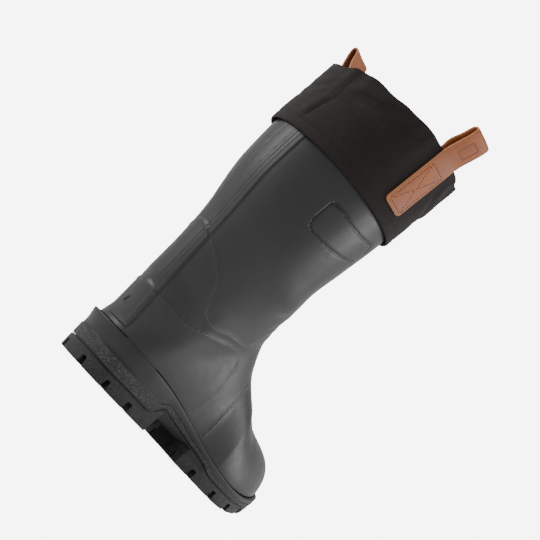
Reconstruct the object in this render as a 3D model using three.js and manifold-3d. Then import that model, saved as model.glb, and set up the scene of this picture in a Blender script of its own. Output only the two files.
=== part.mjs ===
// A rubber boot with a lugged sole, a fabric cuff and two leather pull loops.
// Millimetres. +Y points to the toe, +X to the inner side of this left boot, +Z up.
// "along" is the distance forward from the back of the heel, "side" is +X.

import * as THREE from 'three';
import Module from 'manifold-3d';

const wasm = await Module();
wasm.setup();
const { Manifold, CrossSection } = wasm;

// Driving sizes
const SOLE_LENGTH = 293.5;
const BALL_WIDTH = 118;
const INSTEP_HEIGHT = 165;
const SHAFT_HEIGHT = 300;
const SHAFT_WIDTH = 138;
const WALL = 2.8;
const GAP = 0.3;

// Sole sizes
const TOE_SPRING = 20;
const UPPER_SPRING = 14.4;
const HEEL_STACK = 30;
const FORE_STACK = 17;
const OUTSOLE_HEEL = 14;
const OUTSOLE_FORE = 13;
const SHANK_UNDERSIDE = 15;
const SHANK_SLOPE = 0.106;
const SHANK_PLATE = 5.5;
const LUG_DEPTH = 8.5;
const TREAD_EDGE = 1.6;
const GROOVE_DRAFT = 0.7;
const SPLIT_RIM = 0.3;
const RAND_LIP = 4.5;
const LEDGE_OUT = 5.5;
const LEDGE_REACH = 11;
const INSOLE_THICKNESS = 4;
const INSERT_THICKNESS = 3.4;
const INSERT_FACE = 6;
const FIELD_MARGIN = 3;
const STUD_RADIUS = 5;
const STUD_HEIGHT = 4.8;

// Upper, cuff and loop sizes
const BACKSTAY_WIDTH = 37;
const BACKSTAY_RAISE = 1.3;
const BEAD_HEIGHT = 8;
const CUFF_LAP = 33;
const CUFF_RISE = 46;
const CUFF_CLEARANCE = 2.2;
const CUFF_THICKNESS = 2.4;
const CUFF_FLARE = 1.5;
const STRAP_THICKNESS = 2.2;
const STRAP_WIDTH = 29;
const LOOP_RISE = 32;
const LOOP_SPAN = 15;

// Where the row's origin lies: on the rear lug, this far forward of the heel back
const HEEL_REST_ALONG = 12;

// Resolution
const RING_POINTS = 32;
const OUTLINE_STEPS = 2;

// Outline of the sole: along as a share of the length, sides as shares of the ball width,
// inner and outer at the tread, rimInner and rimOuter at the top of the rand
const OUTLINE = [
  { along: 0.0085, inner: 0.119, outer: 0.119, rimInner: 0.126, rimOuter: 0.126 },
  { along: 0.034, inner: 0.229, outer: 0.229, rimInner: 0.238, rimOuter: 0.238 },
  { along: 0.082, inner: 0.309, outer: 0.306, rimInner: 0.32, rimOuter: 0.318 },
  { along: 0.16, inner: 0.347, outer: 0.347, rimInner: 0.362, rimOuter: 0.362 },
  { along: 0.24, inner: 0.352, outer: 0.356, rimInner: 0.369, rimOuter: 0.371 },
  { along: 0.3, inner: 0.347, outer: 0.354, rimInner: 0.368, rimOuter: 0.37 },
  { along: 0.354, inner: 0.331, outer: 0.33, rimInner: 0.37, rimOuter: 0.364 },
  { along: 0.426, inner: 0.335, outer: 0.36, rimInner: 0.381, rimOuter: 0.383 },
  { along: 0.497, inner: 0.381, outer: 0.424, rimInner: 0.412, rimOuter: 0.437 },
  { along: 0.566, inner: 0.445, outer: 0.475, rimInner: 0.453, rimOuter: 0.48 },
  { along: 0.647, inner: 0.479, outer: 0.513, rimInner: 0.483, rimOuter: 0.517 },
  { along: 0.722, inner: 0.479, outer: 0.521, rimInner: 0.483, rimOuter: 0.525 },
  { along: 0.79, inner: 0.441, outer: 0.483, rimInner: 0.445, rimOuter: 0.487 },
  { along: 0.859, inner: 0.369, outer: 0.403, rimInner: 0.373, rimOuter: 0.407 },
  { along: 0.92, inner: 0.271, outer: 0.322, rimInner: 0.276, rimOuter: 0.326 },
  { along: 0.968, inner: 0.165, outer: 0.233, rimInner: 0.17, rimOuter: 0.236 },
  { along: 0.993, inner: 0.068, outer: 0.11, rimInner: 0.075, rimOuter: 0.114 },
];

// Top line of the rand: along as a share of the length, up as a share of the heel stack
const RAND_TOP = [
  { along: 0, up: 1.45 },
  { along: 0.2, up: 1.42 },
  { along: 0.34, up: 1.27 },
  { along: 0.48, up: 1.0 },
  { along: 0.61, up: 0.79 },
  { along: 0.73, up: 0.717 },
  { along: 1, up: 0.717 },
];

// Top of the vamp: along as a share of the length, up as a share of the instep height
const VAMP_TOP = [
  { along: 0.606, up: 0.582 },
  { along: 0.65, up: 0.525 },
  { along: 0.7, up: 0.474 },
  { along: 0.766, up: 0.446 },
  { along: 0.835, up: 0.425 },
  { along: 0.893, up: 0.402 },
  { along: 0.937, up: 0.373 },
  { along: 0.964, up: 0.345 },
  { along: 0.981, up: 0.303 },
  { along: 0.989, up: 0.255 },
];

// Sections that turn from the foot up into the shaft. Front and back are shares of the length
// and of the instep height, and from 1 to 2 of the shaft above it. Half is half the section's
// width and shift its move to the inner side, as shares of the shaft width. Widest is how far
// from its back the section is widest, and square is how square its back is.
const TURN = [
  { front: 0.548, frontUp: 0.66, back: 0.436, backUp: 0.09,
    half: 0.297, shift: 0, widest: 0.3, square: 3.6 },
  { front: 0.508, frontUp: 0.75, back: 0.242, backUp: 0.11,
    half: 0.29, shift: 0.005, widest: 0.34, square: 3.4 },
  { front: 0.487, frontUp: 0.822, back: 0.03, backUp: 0.125,
    half: 0.287, shift: 0.012, widest: 0.36, square: 2.7 },
  { front: 0.476, frontUp: 0.865, back: 0.015, backUp: 0.34,
    half: 0.29, shift: 0.018, widest: 0.4, square: 2.2 },
  { front: 0.462, frontUp: 0.915, back: -0.004, backUp: 0.6,
    half: 0.292, shift: 0.032, widest: 0.44, square: 2.1 },
  { front: 0.452, frontUp: 0.957, back: -0.015, backUp: 0.8,
    half: 0.313, shift: 0.042, widest: 0.47, square: 2 },
  { front: 0.441, frontUp: 1, back: -0.024, backUp: 1,
    half: 0.358, shift: 0.044, widest: 0.5, square: 2 },
  { front: 0.425, frontUp: 1.185, back: -0.036, backUp: 1.185,
    half: 0.4, shift: 0.034, widest: 0.5, square: 2 },
  { front: 0.439, frontUp: 1.41, back: -0.051, backUp: 1.41,
    half: 0.444, shift: 0.02, widest: 0.5, square: 2 },
  { front: 0.455, frontUp: 1.63, back: -0.054, backUp: 1.63,
    half: 0.471, shift: 0.008, widest: 0.5, square: 2 },
  { front: 0.462, frontUp: 1.815, back: -0.053, backUp: 1.815,
    half: 0.484, shift: 0.004, widest: 0.5, square: 2 },
  { front: 0.466, frontUp: 2, back: -0.05, backUp: 2,
    half: 0.492, shift: 0.006, widest: 0.5, square: 2 },
  { front: 0.457, frontUp: 2.35, back: -0.046, backUp: 2.35,
    half: 0.5, shift: 0.03, widest: 0.5, square: 2 },
];

// Tread grooves, each from its mouth at the edge to its end, in shares of length and ball width
const GROOVES = [
  { from: [0, 0.14], to: [0.061, 0.068], mouth: 6, end: 4, depth: 1 },
  { from: [0.065, 0.165], to: [0.083, 0.085], mouth: 3, end: 3, depth: 0.6 },
  { from: [0.06, 0.39], to: [0.109, 0.17], mouth: 6, end: 4, depth: 1 },
  { from: [0.17, 0.42], to: [0.221, 0.15], mouth: 7, end: 6, depth: 1 },
  { from: [0.31, 0.13], to: [0.225, 0.11], mouth: 9, end: 6, depth: 1 },
  { from: [0.31, 0.265], to: [0.225, 0.26], mouth: 2.6, end: 2.6, depth: 0.8 },
  { from: [0.2, 0.25], to: [0.125, 0.235], mouth: 5, end: 3, depth: 0.8 },
  { from: [0.31, -0.19], to: [0.225, -0.11], mouth: 6, end: 4, depth: 1 },
  { from: [0.31, -0.285], to: [0.22, -0.285], mouth: 4, end: 4, depth: 0.8 },
  { from: [0.19, -0.36], to: [0.218, -0.1], mouth: 6, end: 6, depth: 1 },
  { from: [0.195, -0.265], to: [0.11, -0.235], mouth: 4.5, end: 3.5, depth: 0.8 },
  { from: [0.078, -0.33], to: [0.098, -0.11], mouth: 6, end: 7, depth: 1 },
  { from: [-0.01, -0.145], to: [0.065, -0.1], mouth: 6, end: 5, depth: 1 },
  { from: [0.55, -0.5], to: [0.606, -0.24], mouth: 7, end: 6, depth: 1 },
  { from: [0.648, -0.56], to: [0.69, -0.29], mouth: 6, end: 7, depth: 1 },
  { from: [0.745, -0.53], to: [0.768, -0.25], mouth: 6, end: 6, depth: 1 },
  { from: [0.825, -0.47], to: [0.845, -0.23], mouth: 6, end: 5, depth: 1 },
  { from: [0.905, -0.37], to: [0.88, -0.16], mouth: 5, end: 5, depth: 1 },
  { from: [0.965, -0.25], to: [0.905, -0.11], mouth: 4, end: 4, depth: 1 },
  { from: [1.01, 0.02], to: [0.915, -0.01], mouth: 4, end: 4, depth: 1 },
  { from: [0.485, -0.345], to: [0.57, -0.39], mouth: 5, end: 3, depth: 0.9 },
  { from: [0.475, -0.06], to: [0.56, -0.05], mouth: 6, end: 4, depth: 1 },
  { from: [0.58, -0.435], to: [0.65, -0.43], mouth: 3.4, end: 3.4, depth: 0.8 },
  { from: [0.68, -0.425], to: [0.75, -0.415], mouth: 3, end: 3, depth: 0.8 },
  { from: [0.76, -0.385], to: [0.84, -0.36], mouth: 3.4, end: 3, depth: 0.8 },
  { from: [0.53, 0.5], to: [0.6, 0.17], mouth: 7, end: 5, depth: 1 },
  { from: [0.65, 0.53], to: [0.7, 0.16], mouth: 6, end: 6, depth: 1 },
  { from: [0.752, 0.52], to: [0.79, 0.12], mouth: 6, end: 6, depth: 1 },
  { from: [0.85, 0.44], to: [0.873, 0.12], mouth: 6, end: 6, depth: 1 },
  { from: [0.935, 0.33], to: [0.895, 0.08], mouth: 5, end: 5, depth: 1 },
  { from: [0.5, 0.235], to: [0.57, 0.3], mouth: 5, end: 3, depth: 0.9 },
  { from: [0.59, 0.345], to: [0.67, 0.355], mouth: 2.6, end: 2.6, depth: 0.8 },
  { from: [0.69, 0.36], to: [0.765, 0.34], mouth: 2.6, end: 2.6, depth: 0.8 },
  { from: [0.78, 0.315], to: [0.855, 0.28], mouth: 2.6, end: 2.6, depth: 0.8 },
];

// Raised waist between heel and forefoot, in shares of length and ball width
const WAIST = [
  [0.303, -0.8], [0.303, 0.8], [0.455, 0.8], [0.477, 0.4], [0.511, 0.21],
  [0.53, 0.068], [0.49, -0.034], [0.535, -0.25], [0.487, -0.41], [0.47, -0.8],
];

// Outlines of the two tread inserts and their studs, in shares of length and ball width
const HEEL_INSERT = {
  outline: [
    [0.099, -0.008], [0.112, 0.085], [0.143, 0.136], [0.184, 0.114], [0.228, 0.064],
    [0.235, -0.008], [0.228, -0.089], [0.184, -0.136], [0.143, -0.144], [0.112, -0.093],
  ],
  studs: [[0.133, -0.006], [0.168, -0.072], [0.173, 0.059], [0.207, -0.014]],
};
const FORE_INSERT = {
  outline: [
    [0.566, -0.051], [0.624, 0.127], [0.675, 0.182], [0.736, 0.123], [0.77, 0.11], [0.835, 0.14],
    [0.879, 0.008], [0.882, -0.093], [0.831, -0.203], [0.763, -0.25], [0.681, -0.305], [0.62, -0.19],
  ],
  studs: [
    [0.603, -0.025], [0.647, -0.114], [0.646, 0.035], [0.687, -0.182], [0.697, 0.08], [0.713, -0.056],
    [0.746, -0.144], [0.751, 0.027], [0.793, -0.165], [0.778, -0.058], [0.801, 0.042],
    [0.817, -0.048], [0.843, -0.132], [0.865, -0.035], [0.847, 0.047],
  ],
};

// Materials
const RUBBER = new THREE.MeshStandardMaterial({ color: 0x2b2d2e, roughness: 0.5, metalness: 0 });
const TREAD = new THREE.MeshStandardMaterial({ color: 0x151617, roughness: 0.75, metalness: 0 });
const INSERT = new THREE.MeshStandardMaterial({ color: 0x171a19, roughness: 0.6, metalness: 0 });
const FELT = new THREE.MeshStandardMaterial({ color: 0x6b6a66, roughness: 0.95, metalness: 0 });
const FABRIC = new THREE.MeshStandardMaterial({ color: 0x241d1b, roughness: 0.95, metalness: 0 });
const LEATHER = new THREE.MeshStandardMaterial({ color: 0xa5663f, roughness: 0.6, metalness: 0 });

// Smooth steps and curves through a short table
function smoothstep(from, to, value) {
  const t = THREE.MathUtils.clamp((value - from) / (to - from), 0, 1);
  return t * t * (3 - 2 * t);
}

function hermite(before, start, end, after, t) {
  const left = (end - before) / 2;
  const right = (after - start) / 2;
  const cube = (2 * start - 2 * end + left + right) * t ** 3;
  const square = (3 * end - 3 * start - 2 * left - right) * t ** 2;
  return cube + square + left * t + start;
}

function lookUp(table, column, share) {
  let row = 0;
  while (row < table.length - 2 && share > table[row + 1].along) row += 1;
  const span = table[row + 1].along - table[row].along;
  const t = THREE.MathUtils.clamp((share - table[row].along) / span, 0, 1);
  const before = table[Math.max(row - 1, 0)][column];
  const after = table[Math.min(row + 2, table.length - 1)][column];
  return hermite(before, table[row][column], table[row + 1][column], after, t);
}

// Heights under and in the sole at a distance forward of the heel back
const springAt = (along) => Math.max(0, (along / SOLE_LENGTH - 0.66) / 0.34) ** 2;
const treadAt = (along) => TOE_SPRING * springAt(along);
const shankAt = (along) => SHANK_UNDERSIDE + SHANK_SLOPE * (0.475 * SOLE_LENGTH - along);

function splitAt(along) {
  const plate = shankAt(along) + SHANK_PLATE;
  const rise = smoothstep(0.25 * SOLE_LENGTH, 0.298 * SOLE_LENGTH, along);
  const fall = smoothstep(0.53 * SOLE_LENGTH, 0.61 * SOLE_LENGTH, along);
  const rear = OUTSOLE_HEEL + (plate - OUTSOLE_HEEL) * rise;
  return rear + (OUTSOLE_FORE - rear) * fall + UPPER_SPRING * springAt(along);
}

function footbedAt(along) {
  const forward = smoothstep(0.34 * SOLE_LENGTH, 0.65 * SOLE_LENGTH, along);
  return HEEL_STACK + (FORE_STACK - HEEL_STACK) * forward + UPPER_SPRING * springAt(along);
}

function randTopAt(along) {
  const height = HEEL_STACK * lookUp(RAND_TOP, 'up', along / SOLE_LENGTH);
  return height + UPPER_SPRING * springAt(along);
}

// Closed solid from a list of triangles, turned the right way out
function solidFrom(points, triangles) {
  const build = (corners) => new Manifold(new wasm.Mesh({
    numProp: 3,
    vertProperties: new Float32Array(points.flat()),
    triVerts: new Uint32Array(corners),
  }));
  const solid = build(triangles.flat());
  return solid.volume() > 0 ? solid : build(triangles.map(([a, b, c]) => [a, c, b]).flat());
}

// Skin between rings of equal length, with a lid at each end
function skin(rings, lid) {
  const count = rings[0].length;
  const points = rings.flat();
  const triangles = [];
  for (let ring = 0; ring < rings.length - 1; ring += 1) {
    for (let i = 0; i < count; i += 1) {
      const a = ring * count + i;
      const b = ring * count + ((i + 1) % count);
      triangles.push([a, b, b + count], [a, b + count, a + count]);
    }
  }
  const last = (rings.length - 1) * count;
  for (const [a, b, c] of lid(count)) {
    triangles.push([a, c, b], [last + a, last + b, last + c]);
  }
  return solidFrom(points, triangles);
}

// Lid that joins the two sides of a ring straight across
function acrossLid(count) {
  const triangles = [];
  for (let i = 0; i < count / 2 - 1; i += 1) {
    const left = i === 0 ? 0 : count - i;
    const next = count - i - 1;
    if (i > 0) triangles.push([left, i, i + 1]);
    triangles.push([left, i + 1, next]);
  }
  triangles.push([count / 2 + 1, count / 2 - 1, count / 2]);
  return triangles;
}

// Outline of the sole as a ring: heel tip, inner side, toe tip, outer side
function outlineRing({ inset = 0, rim = 0, ledge = 0 }) {
  const side = (low, high) => OUTLINE.map((row) => {
    const across = THREE.MathUtils.lerp(row[low], row[high], rim) * BALL_WIDTH;
    return new THREE.Vector3(across, row.along * SOLE_LENGTH, 0);
  });
  const inner = side('inner', 'rimInner');
  const outer = side('outer', 'rimOuter').map((point) => point.setX(-point.x));
  const heel = new THREE.Vector3(0, 0, 0);
  const toe = new THREE.Vector3(-0.012 * BALL_WIDTH, SOLE_LENGTH, 0);
  const corners = [heel, ...inner, toe, ...outer.reverse()];
  const curve = new THREE.CatmullRomCurve3(corners, true, 'catmullrom', 0.5);
  const count = corners.length * OUTLINE_STEPS;
  const ring = [];
  for (let i = 0; i < count; i += 1) {
    const point = curve.getPoint(i / count);
    const tangent = curve.getTangent(i / count);
    const out = ledge * smoothstep(LEDGE_REACH, 0, point.y) - inset;
    ring.push([point.x + tangent.y * out, point.y - tangent.x * out]);
  }
  return ring;
}

// Solid between levels, each an outline ring at its own height along the sole
function soleStack(levels) {
  const rings = levels.map((level) => outlineRing(level)
    .map(([side, along]) => [side, along, level.height(along)]));
  return skin(rings, acrossLid);
}

// Everything between two heights that change only along the sole
function between(low, high, reach = 130, stations = 30) {
  const rings = [];
  for (let i = 0; i <= stations; i += 1) {
    const along = THREE.MathUtils.lerp(-0.2, 1.1, i / stations) * SOLE_LENGTH;
    rings.push([
      [-reach, along, low(along)], [reach, along, low(along)],
      [reach, along, high(along)], [-reach, along, high(along)],
    ]);
  }
  return skin(rings, () => [[0, 1, 2], [0, 2, 3]]);
}

// Upright prism of a smooth closed outline given in shares, grown by a margin
function prism(outline, margin, steps = 2) {
  const corners = outline.map(([along, side]) => new THREE.Vector3(side * BALL_WIDTH, along * SOLE_LENGTH, 0));
  const curve = new THREE.CatmullRomCurve3(corners, true, 'catmullrom', 0.4);
  const points = curve.getPoints(outline.length * steps).slice(1).map((point) => [point.x, point.y]);
  const area = CrossSection.ofPolygons([points], 'EvenOdd');
  return area.offset(margin, 'Round', 2, 24).extrude(200).translate([0, 0, -60]);
}

// Wedge cutter of one tread groove, wider at the tread than at its floor
function grooveCutter(groove) {
  const ends = [[groove.from, groove.mouth], [groove.to, groove.end]];
  const [start, stop] = ends.map(([[along, side]]) => new THREE.Vector2(side * BALL_WIDTH, along * SOLE_LENGTH));
  const across = stop.clone().sub(start).normalize().rotateAround(new THREE.Vector2(), Math.PI / 2);
  const corners = [];
  for (const [[along, side], width] of ends) {
    const station = along * SOLE_LENGTH;
    const floor = Math.min(treadAt(station) + LUG_DEPTH * groove.depth, splitAt(station) - 2.2);
    for (const sign of [-1, 1]) {
      const low = sign * (width / 2 + GROOVE_DRAFT);
      const high = sign * (width / 2 - GROOVE_DRAFT);
      const middle = side * BALL_WIDTH;
      corners.push([middle + across.x * low, station + across.y * low, treadAt(station) - 3]);
      corners.push([middle + across.x * high, station + across.y * high, floor]);
    }
  }
  return Manifold.hull(corners);
}

// Space under the shank plate: flat in the middle and rising to both edges
function waistCutter() {
  const rings = [];
  for (let i = 0; i <= 12; i += 1) {
    const along = THREE.MathUtils.lerp(0.28, 0.56, i / 12) * SOLE_LENGTH;
    const middle = shankAt(along);
    rings.push([
      [-130, along, -10], [130, along, -10], [130, along, middle + 4], [0.34 * BALL_WIDTH, along, middle + 4],
      [0.055 * BALL_WIDTH, along, middle], [-0.22 * BALL_WIDTH, along, middle],
      [-0.34 * BALL_WIDTH, along, middle + 2], [-130, along, middle + 2],
    ]);
  }
  const under = skin(rings, () => [[0, 1, 4], [1, 2, 3], [1, 3, 4], [0, 4, 5], [0, 5, 6], [0, 6, 7]]);
  const points = WAIST.map(([along, side]) => [side * BALL_WIDTH, along * SOLE_LENGTH]);
  const area = CrossSection.ofPolygons([points], 'EvenOdd');
  return area.extrude(200).translate([0, 0, -60]).intersect(under);
}

// Lower face, upper face and pocket of a tread insert
const insertFace = (along) => treadAt(along) + INSERT_FACE - 0.18 * treadAt(along);
const insertBack = (along) => insertFace(along) + INSERT_THICKNESS * (1 - 0.35 * springAt(along));

function treadInsert(insert) {
  const plate = prism(insert.outline, 0).intersect(between(insertFace, insertBack));
  const studs = insert.studs.map(([along, side]) => {
    const station = along * SOLE_LENGTH;
    const base = insertFace(station) + 0.6;
    const crown = Manifold.cylinder(STUD_HEIGHT * 0.45, STUD_RADIUS * 0.55, STUD_RADIUS * 0.93, 10);
    const foot = Manifold.cylinder(STUD_HEIGHT * 0.55 + 0.6, STUD_RADIUS * 0.93, STUD_RADIUS, 10);
    const stud = crown.add(foot.translate([0, 0, STUD_HEIGHT * 0.45]));
    return stud.translate([side * BALL_WIDTH, station, base - STUD_HEIGHT - 0.6]);
  });
  return Manifold.union([plate, ...studs]);
}

// Outsole with lugs, raised waist and a pocket for each insert
function outsole() {
  const body = soleStack([
    { inset: TREAD_EDGE, height: treadAt },
    { inset: TREAD_EDGE - 0.9, height: (along) => treadAt(along) + 1.2 },
    { inset: 0.2, rim: SPLIT_RIM, height: (along) => splitAt(along) - 1.6 },
    { inset: 1, rim: SPLIT_RIM, height: (along) => splitAt(along) - 0.6 },
    { inset: 1, rim: SPLIT_RIM, height: splitAt },
  ]);
  const cutters = GROOVES.map(grooveCutter);
  cutters.push(waistCutter());
  for (const insert of [HEEL_INSERT, FORE_INSERT]) {
    const field = (along) => insertFace(along) + 0.5;
    const pocket = (along) => insertBack(along) + GAP;
    cutters.push(prism(insert.outline, FIELD_MARGIN).intersect(between(() => -20, field)));
    cutters.push(prism(insert.outline, GAP).intersect(between(() => -20, pocket)));
  }
  return body.subtract(Manifold.union(cutters));
}

// Rings of the upper's form, from the toe tip to the top of the cuff, grown outward by a margin
function footRow(share) {
  const along = share * SOLE_LENGTH;
  const inset = 1 - (2 * (RAND_LIP + GAP)) / BALL_WIDTH;
  const stretch = Math.min(share * 1.011, 0.9995);
  return {
    front: [along, INSTEP_HEIGHT * lookUp(VAMP_TOP, 'up', share)],
    back: [along, footbedAt(along) - 10],
    inner: sideAt('inner', stretch) * inset,
    outer: sideAt('outer', stretch) * inset,
    shift: 0,
    widest: 0.22,
    square: 3.6,
    crown: 1.95,
    tip: smoothstep(0.8, 0.99, share),
  };
}

// Half width of the tread outline at a share of the length
function sideAt(column, share) {
  const ring = outlineRing({ rim: 1 });
  const half = ring.length / 2;
  const sign = column === 'inner' ? 1 : -1;
  const walk = sign > 0 ? ring.slice(0, half + 1) : [ring[0], ...ring.slice(half).reverse()];
  let i = 0;
  while (i < walk.length - 2 && walk[i + 1][1] < share * SOLE_LENGTH) i += 1;
  const t = THREE.MathUtils.clamp((share * SOLE_LENGTH - walk[i][1]) / (walk[i + 1][1] - walk[i][1]), 0, 1);
  return sign * THREE.MathUtils.lerp(walk[i][0], walk[i + 1][0], t);
}

function turnRow(row) {
  const rise = (share) => INSTEP_HEIGHT * Math.min(share, 1)
    + (SHAFT_HEIGHT - INSTEP_HEIGHT) * Math.max(share - 1, 0);
  const side = row.half * SHAFT_WIDTH;
  return {
    front: [row.front * SOLE_LENGTH, rise(row.frontUp)],
    back: [row.back * SOLE_LENGTH, rise(row.backUp)],
    inner: side,
    outer: side,
    shift: row.shift * SHAFT_WIDTH,
    widest: row.widest,
    square: row.square,
    crown: 2.1,
    tip: 0,
  };
}

const FOOT_SHARES = [0.988, 0.982, 0.97, 0.95, 0.92, 0.88, 0.83, 0.775, 0.715, 0.655, 0.606];

function mixRows(rows, place) {
  const index = Math.min(Math.floor(place), rows.length - 2);
  const t = place - index;
  const around = [-1, 0, 1, 2].map((step) => rows[THREE.MathUtils.clamp(index + step, 0, rows.length - 1)]);
  const blend = (read) => hermite(...around.map(read), t);
  return {
    front: [blend((row) => row.front[0]), blend((row) => row.front[1])],
    back: [blend((row) => row.back[0]), blend((row) => row.back[1])],
    inner: blend((row) => row.inner),
    outer: blend((row) => row.outer),
    shift: blend((row) => row.shift),
    crown: blend((row) => row.crown),
    widest: blend((row) => row.widest),
    square: blend((row) => row.square),
    tip: Math.max(0, blend((row) => row.tip)),
  };
}

function formRows() {
  const foot = FOOT_SHARES.map(footRow);
  const turn = [foot[foot.length - 1], ...TURN.map(turnRow)];
  const rows = foot.slice(0, -1);
  for (let place = 0; place < turn.length - 1; place += place < 6 ? 0.5 : 1) rows.push(mixRows(turn, place));
  rows.push(turn[turn.length - 1]);
  return rows;
}

// One closed ring of a section, starting at its back or underside
function sectionRing(row, grow) {
  const axis = new THREE.Vector2(row.front[0] - row.back[0], row.front[1] - row.back[1]);
  const length = axis.length();
  axis.normalize();
  const flat = [];
  for (let i = 0; i < RING_POINTS; i += 1) {
    const turn = (2 * Math.PI * i) / RING_POINTS;
    const front = Math.cos(turn) < 0;
    const power = 2 / (front ? row.crown : row.square);
    const reach = Math.abs(Math.cos(turn)) ** power;
    const width = Math.abs(Math.sin(turn)) ** power;
    const lift = front ? row.widest + (1 - row.widest) * reach : row.widest * (1 - reach);
    flat.push([Math.sin(turn) > 0 ? width * row.inner : -width * row.outer, lift * length]);
  }
  const outward = Math.sqrt(1 - Math.min(row.tip, 1) ** 2) * grow;
  return flat.map(([side, lift], i) => {
    const before = flat[(i + RING_POINTS - 1) % RING_POINTS];
    const after = flat[(i + 1) % RING_POINTS];
    const normal = new THREE.Vector2(after[1] - before[1], before[0] - after[0]).normalize();
    const up = lift + normal.y * outward;
    return [
      row.shift + side + normal.x * outward,
      row.back[0] + axis.x * up + row.tip * grow,
      row.back[1] + axis.y * up,
    ];
  });
}

function fanLid(count) {
  const triangles = [];
  for (let i = 1; i < count - 1; i += 1) triangles.push([0, i, i + 1]);
  return triangles;
}

const form = (grow, rows = formRows()) => skin(rows.map((row) => sectionRing(row, grow)), fanLid);
const below = (height) => between(() => -40, height);
const above = (height) => between(height, () => SHAFT_HEIGHT * 2);

// Upper: one hollow wall, open at the collar and underneath, with a thicker bead at its rim
function upper() {
  const top = () => SHAFT_HEIGHT;
  const shell = form(0).subtract(form(-WALL));
  const bead = form(CUFF_CLEARANCE - GAP).subtract(form(-WALL / 2)).intersect(above(() => SHAFT_HEIGHT - BEAD_HEIGHT));
  return shell.add(bead).intersect(between((along) => footbedAt(along) + GAP, top));
}

// Strip up the back of the shaft, cut between two larger forms
function backstay() {
  const sheet = form(GAP + BACKSTAY_RAISE).subtract(form(GAP));
  const window = new THREE.Vector3(BACKSTAY_WIDTH, 0.3 * SOLE_LENGTH, SHAFT_HEIGHT - BEAD_HEIGHT - 2);
  const low = randTopAt(0) + 4;
  const box = Manifold.cube([window.x, window.y, window.z - low]);
  return sheet.intersect(box.translate([-window.x / 2, -0.15 * SOLE_LENGTH, low]));
}

// Midsole with its rand, shaped around the upper's own form, and a kick-off ledge at the heel
function midsole() {
  const rise = (share) => (along) => THREE.MathUtils.lerp(splitAt(along) + GAP, randTopAt(along), share);
  const body = soleStack([
    { inset: 1, rim: SPLIT_RIM, height: rise(0) },
    { inset: 0, rim: SPLIT_RIM, height: rise(0.05) },
    { inset: -0.3, rim: 0.7, height: rise(0.4) },
    { inset: 0.5, rim: 0.8, height: rise(0.45) },
    { inset: 0.2, rim: 1, height: rise(0.72) },
    { inset: 0.2, rim: 1, ledge: LEDGE_OUT, height: rise(0.86) },
    { inset: 0.6, rim: 1, ledge: LEDGE_OUT - 0.5, height: rise(1) },
  ]);
  return body.subtract(form(GAP).intersect(above(footbedAt)));
}

function insole() {
  const low = (along) => footbedAt(along) + GAP;
  return form(-WALL - 0.5).intersect(between(low, (along) => low(along) + INSOLE_THICKNESS));
}

// Cuff: rows of the shaft's form, clear of the backstay, flaring above the rim
const CUFF_BASE = SHAFT_HEIGHT - CUFF_LAP;
const CUFF_TOP = SHAFT_HEIGHT + CUFF_RISE;
const CUFF_ROWS = 5;

function cuffRow(place) {
  const height = THREE.MathUtils.lerp(CUFF_BASE, CUFF_TOP, place / CUFF_ROWS);
  const rows = TURN.map(turnRow);
  let i = 0;
  while (i < rows.length - 2 && rows[i + 1].back[1] < height) i += 1;
  return mixRows(rows, i + (height - rows[i].back[1]) / (rows[i + 1].back[1] - rows[i].back[1]));
}

const cuffFlare = (place) => CUFF_FLARE * smoothstep(1.5, CUFF_ROWS, place);

function cuffSkin(first, last, grow) {
  const rings = [];
  for (let place = first; place <= last; place += 1) {
    const row = cuffRow(THREE.MathUtils.clamp(place, 0, CUFF_ROWS));
    const drop = place < 0 ? -20 : 0;
    const lift = place > CUFF_ROWS ? 20 : 0;
    const flare = cuffFlare(THREE.MathUtils.clamp(place, 0, CUFF_ROWS));
    rings.push(sectionRing(row, grow + flare).map(([x, y, z]) => [x, y, z + drop + lift]));
  }
  return skin(rings, fanLid);
}

function cuff() {
  const outside = cuffSkin(0, CUFF_ROWS, CUFF_CLEARANCE + CUFF_THICKNESS);
  return outside.subtract(cuffSkin(-1, CUFF_ROWS + 1, CUFF_CLEARANCE));
}

// Leather strap: up the outside of the cuff, over in an arch and down its inside
function pullLoop(middle) {
  const outside = CUFF_CLEARANCE + CUFF_THICKNESS + GAP;
  const inside = CUFF_CLEARANCE - GAP;
  const arch = [];
  for (let i = 0; i <= 6; i += 1) {
    const turn = (Math.PI * i) / 6;
    arch.push({
      grow: (outside + inside) / 2 + (LOOP_SPAN / 2) * Math.cos(turn),
      lift: LOOP_RISE - LOOP_SPAN / 2 + (LOOP_SPAN / 2) * Math.sin(turn),
      out: [Math.cos(turn), Math.sin(turn)],
    });
  }
  const path = [
    { place: 1, grow: outside, out: [1, 0] },
    { place: 2, grow: outside, out: [1, 0] },
    { place: 3, grow: outside, out: [1, 0] },
    { place: 4, grow: outside, out: [1, 0] },
    { place: CUFF_ROWS, grow: outside, out: [1, 0] },
    ...arch.map((point) => ({ place: CUFF_ROWS, ...point })),
    { place: CUFF_ROWS, grow: inside, out: [-1, 0] },
    { place: 4, grow: inside, out: [-1, 0] },
    { place: 3, grow: inside, out: [-1, 0] },
  ];
  const layer = (thickness) => path.map((point) => [-1, 0, 1].map((step) => {
    const grow = point.grow + point.out[0] * thickness + cuffFlare(point.place);
    const ring = sectionRing(cuffRow(point.place), grow);
    const centre = new THREE.Vector3(...ring[middle]);
    const edge = new THREE.Vector3(...ring[middle + step]);
    if (step !== 0) edge.sub(centre).setLength(STRAP_WIDTH / 2).add(centre);
    return [edge.x, edge.y, edge.z + (point.lift ?? 0) + point.out[1] * thickness];
  }));
  const bottom = layer(0);
  const top = layer(STRAP_THICKNESS);
  const rings = [0, 1, 2].map((step) => [
    ...bottom.map((row) => row[step]), ...top.map((row) => row[step]).reverse(),
  ]);
  return skin(rings, acrossPath);
}

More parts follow.
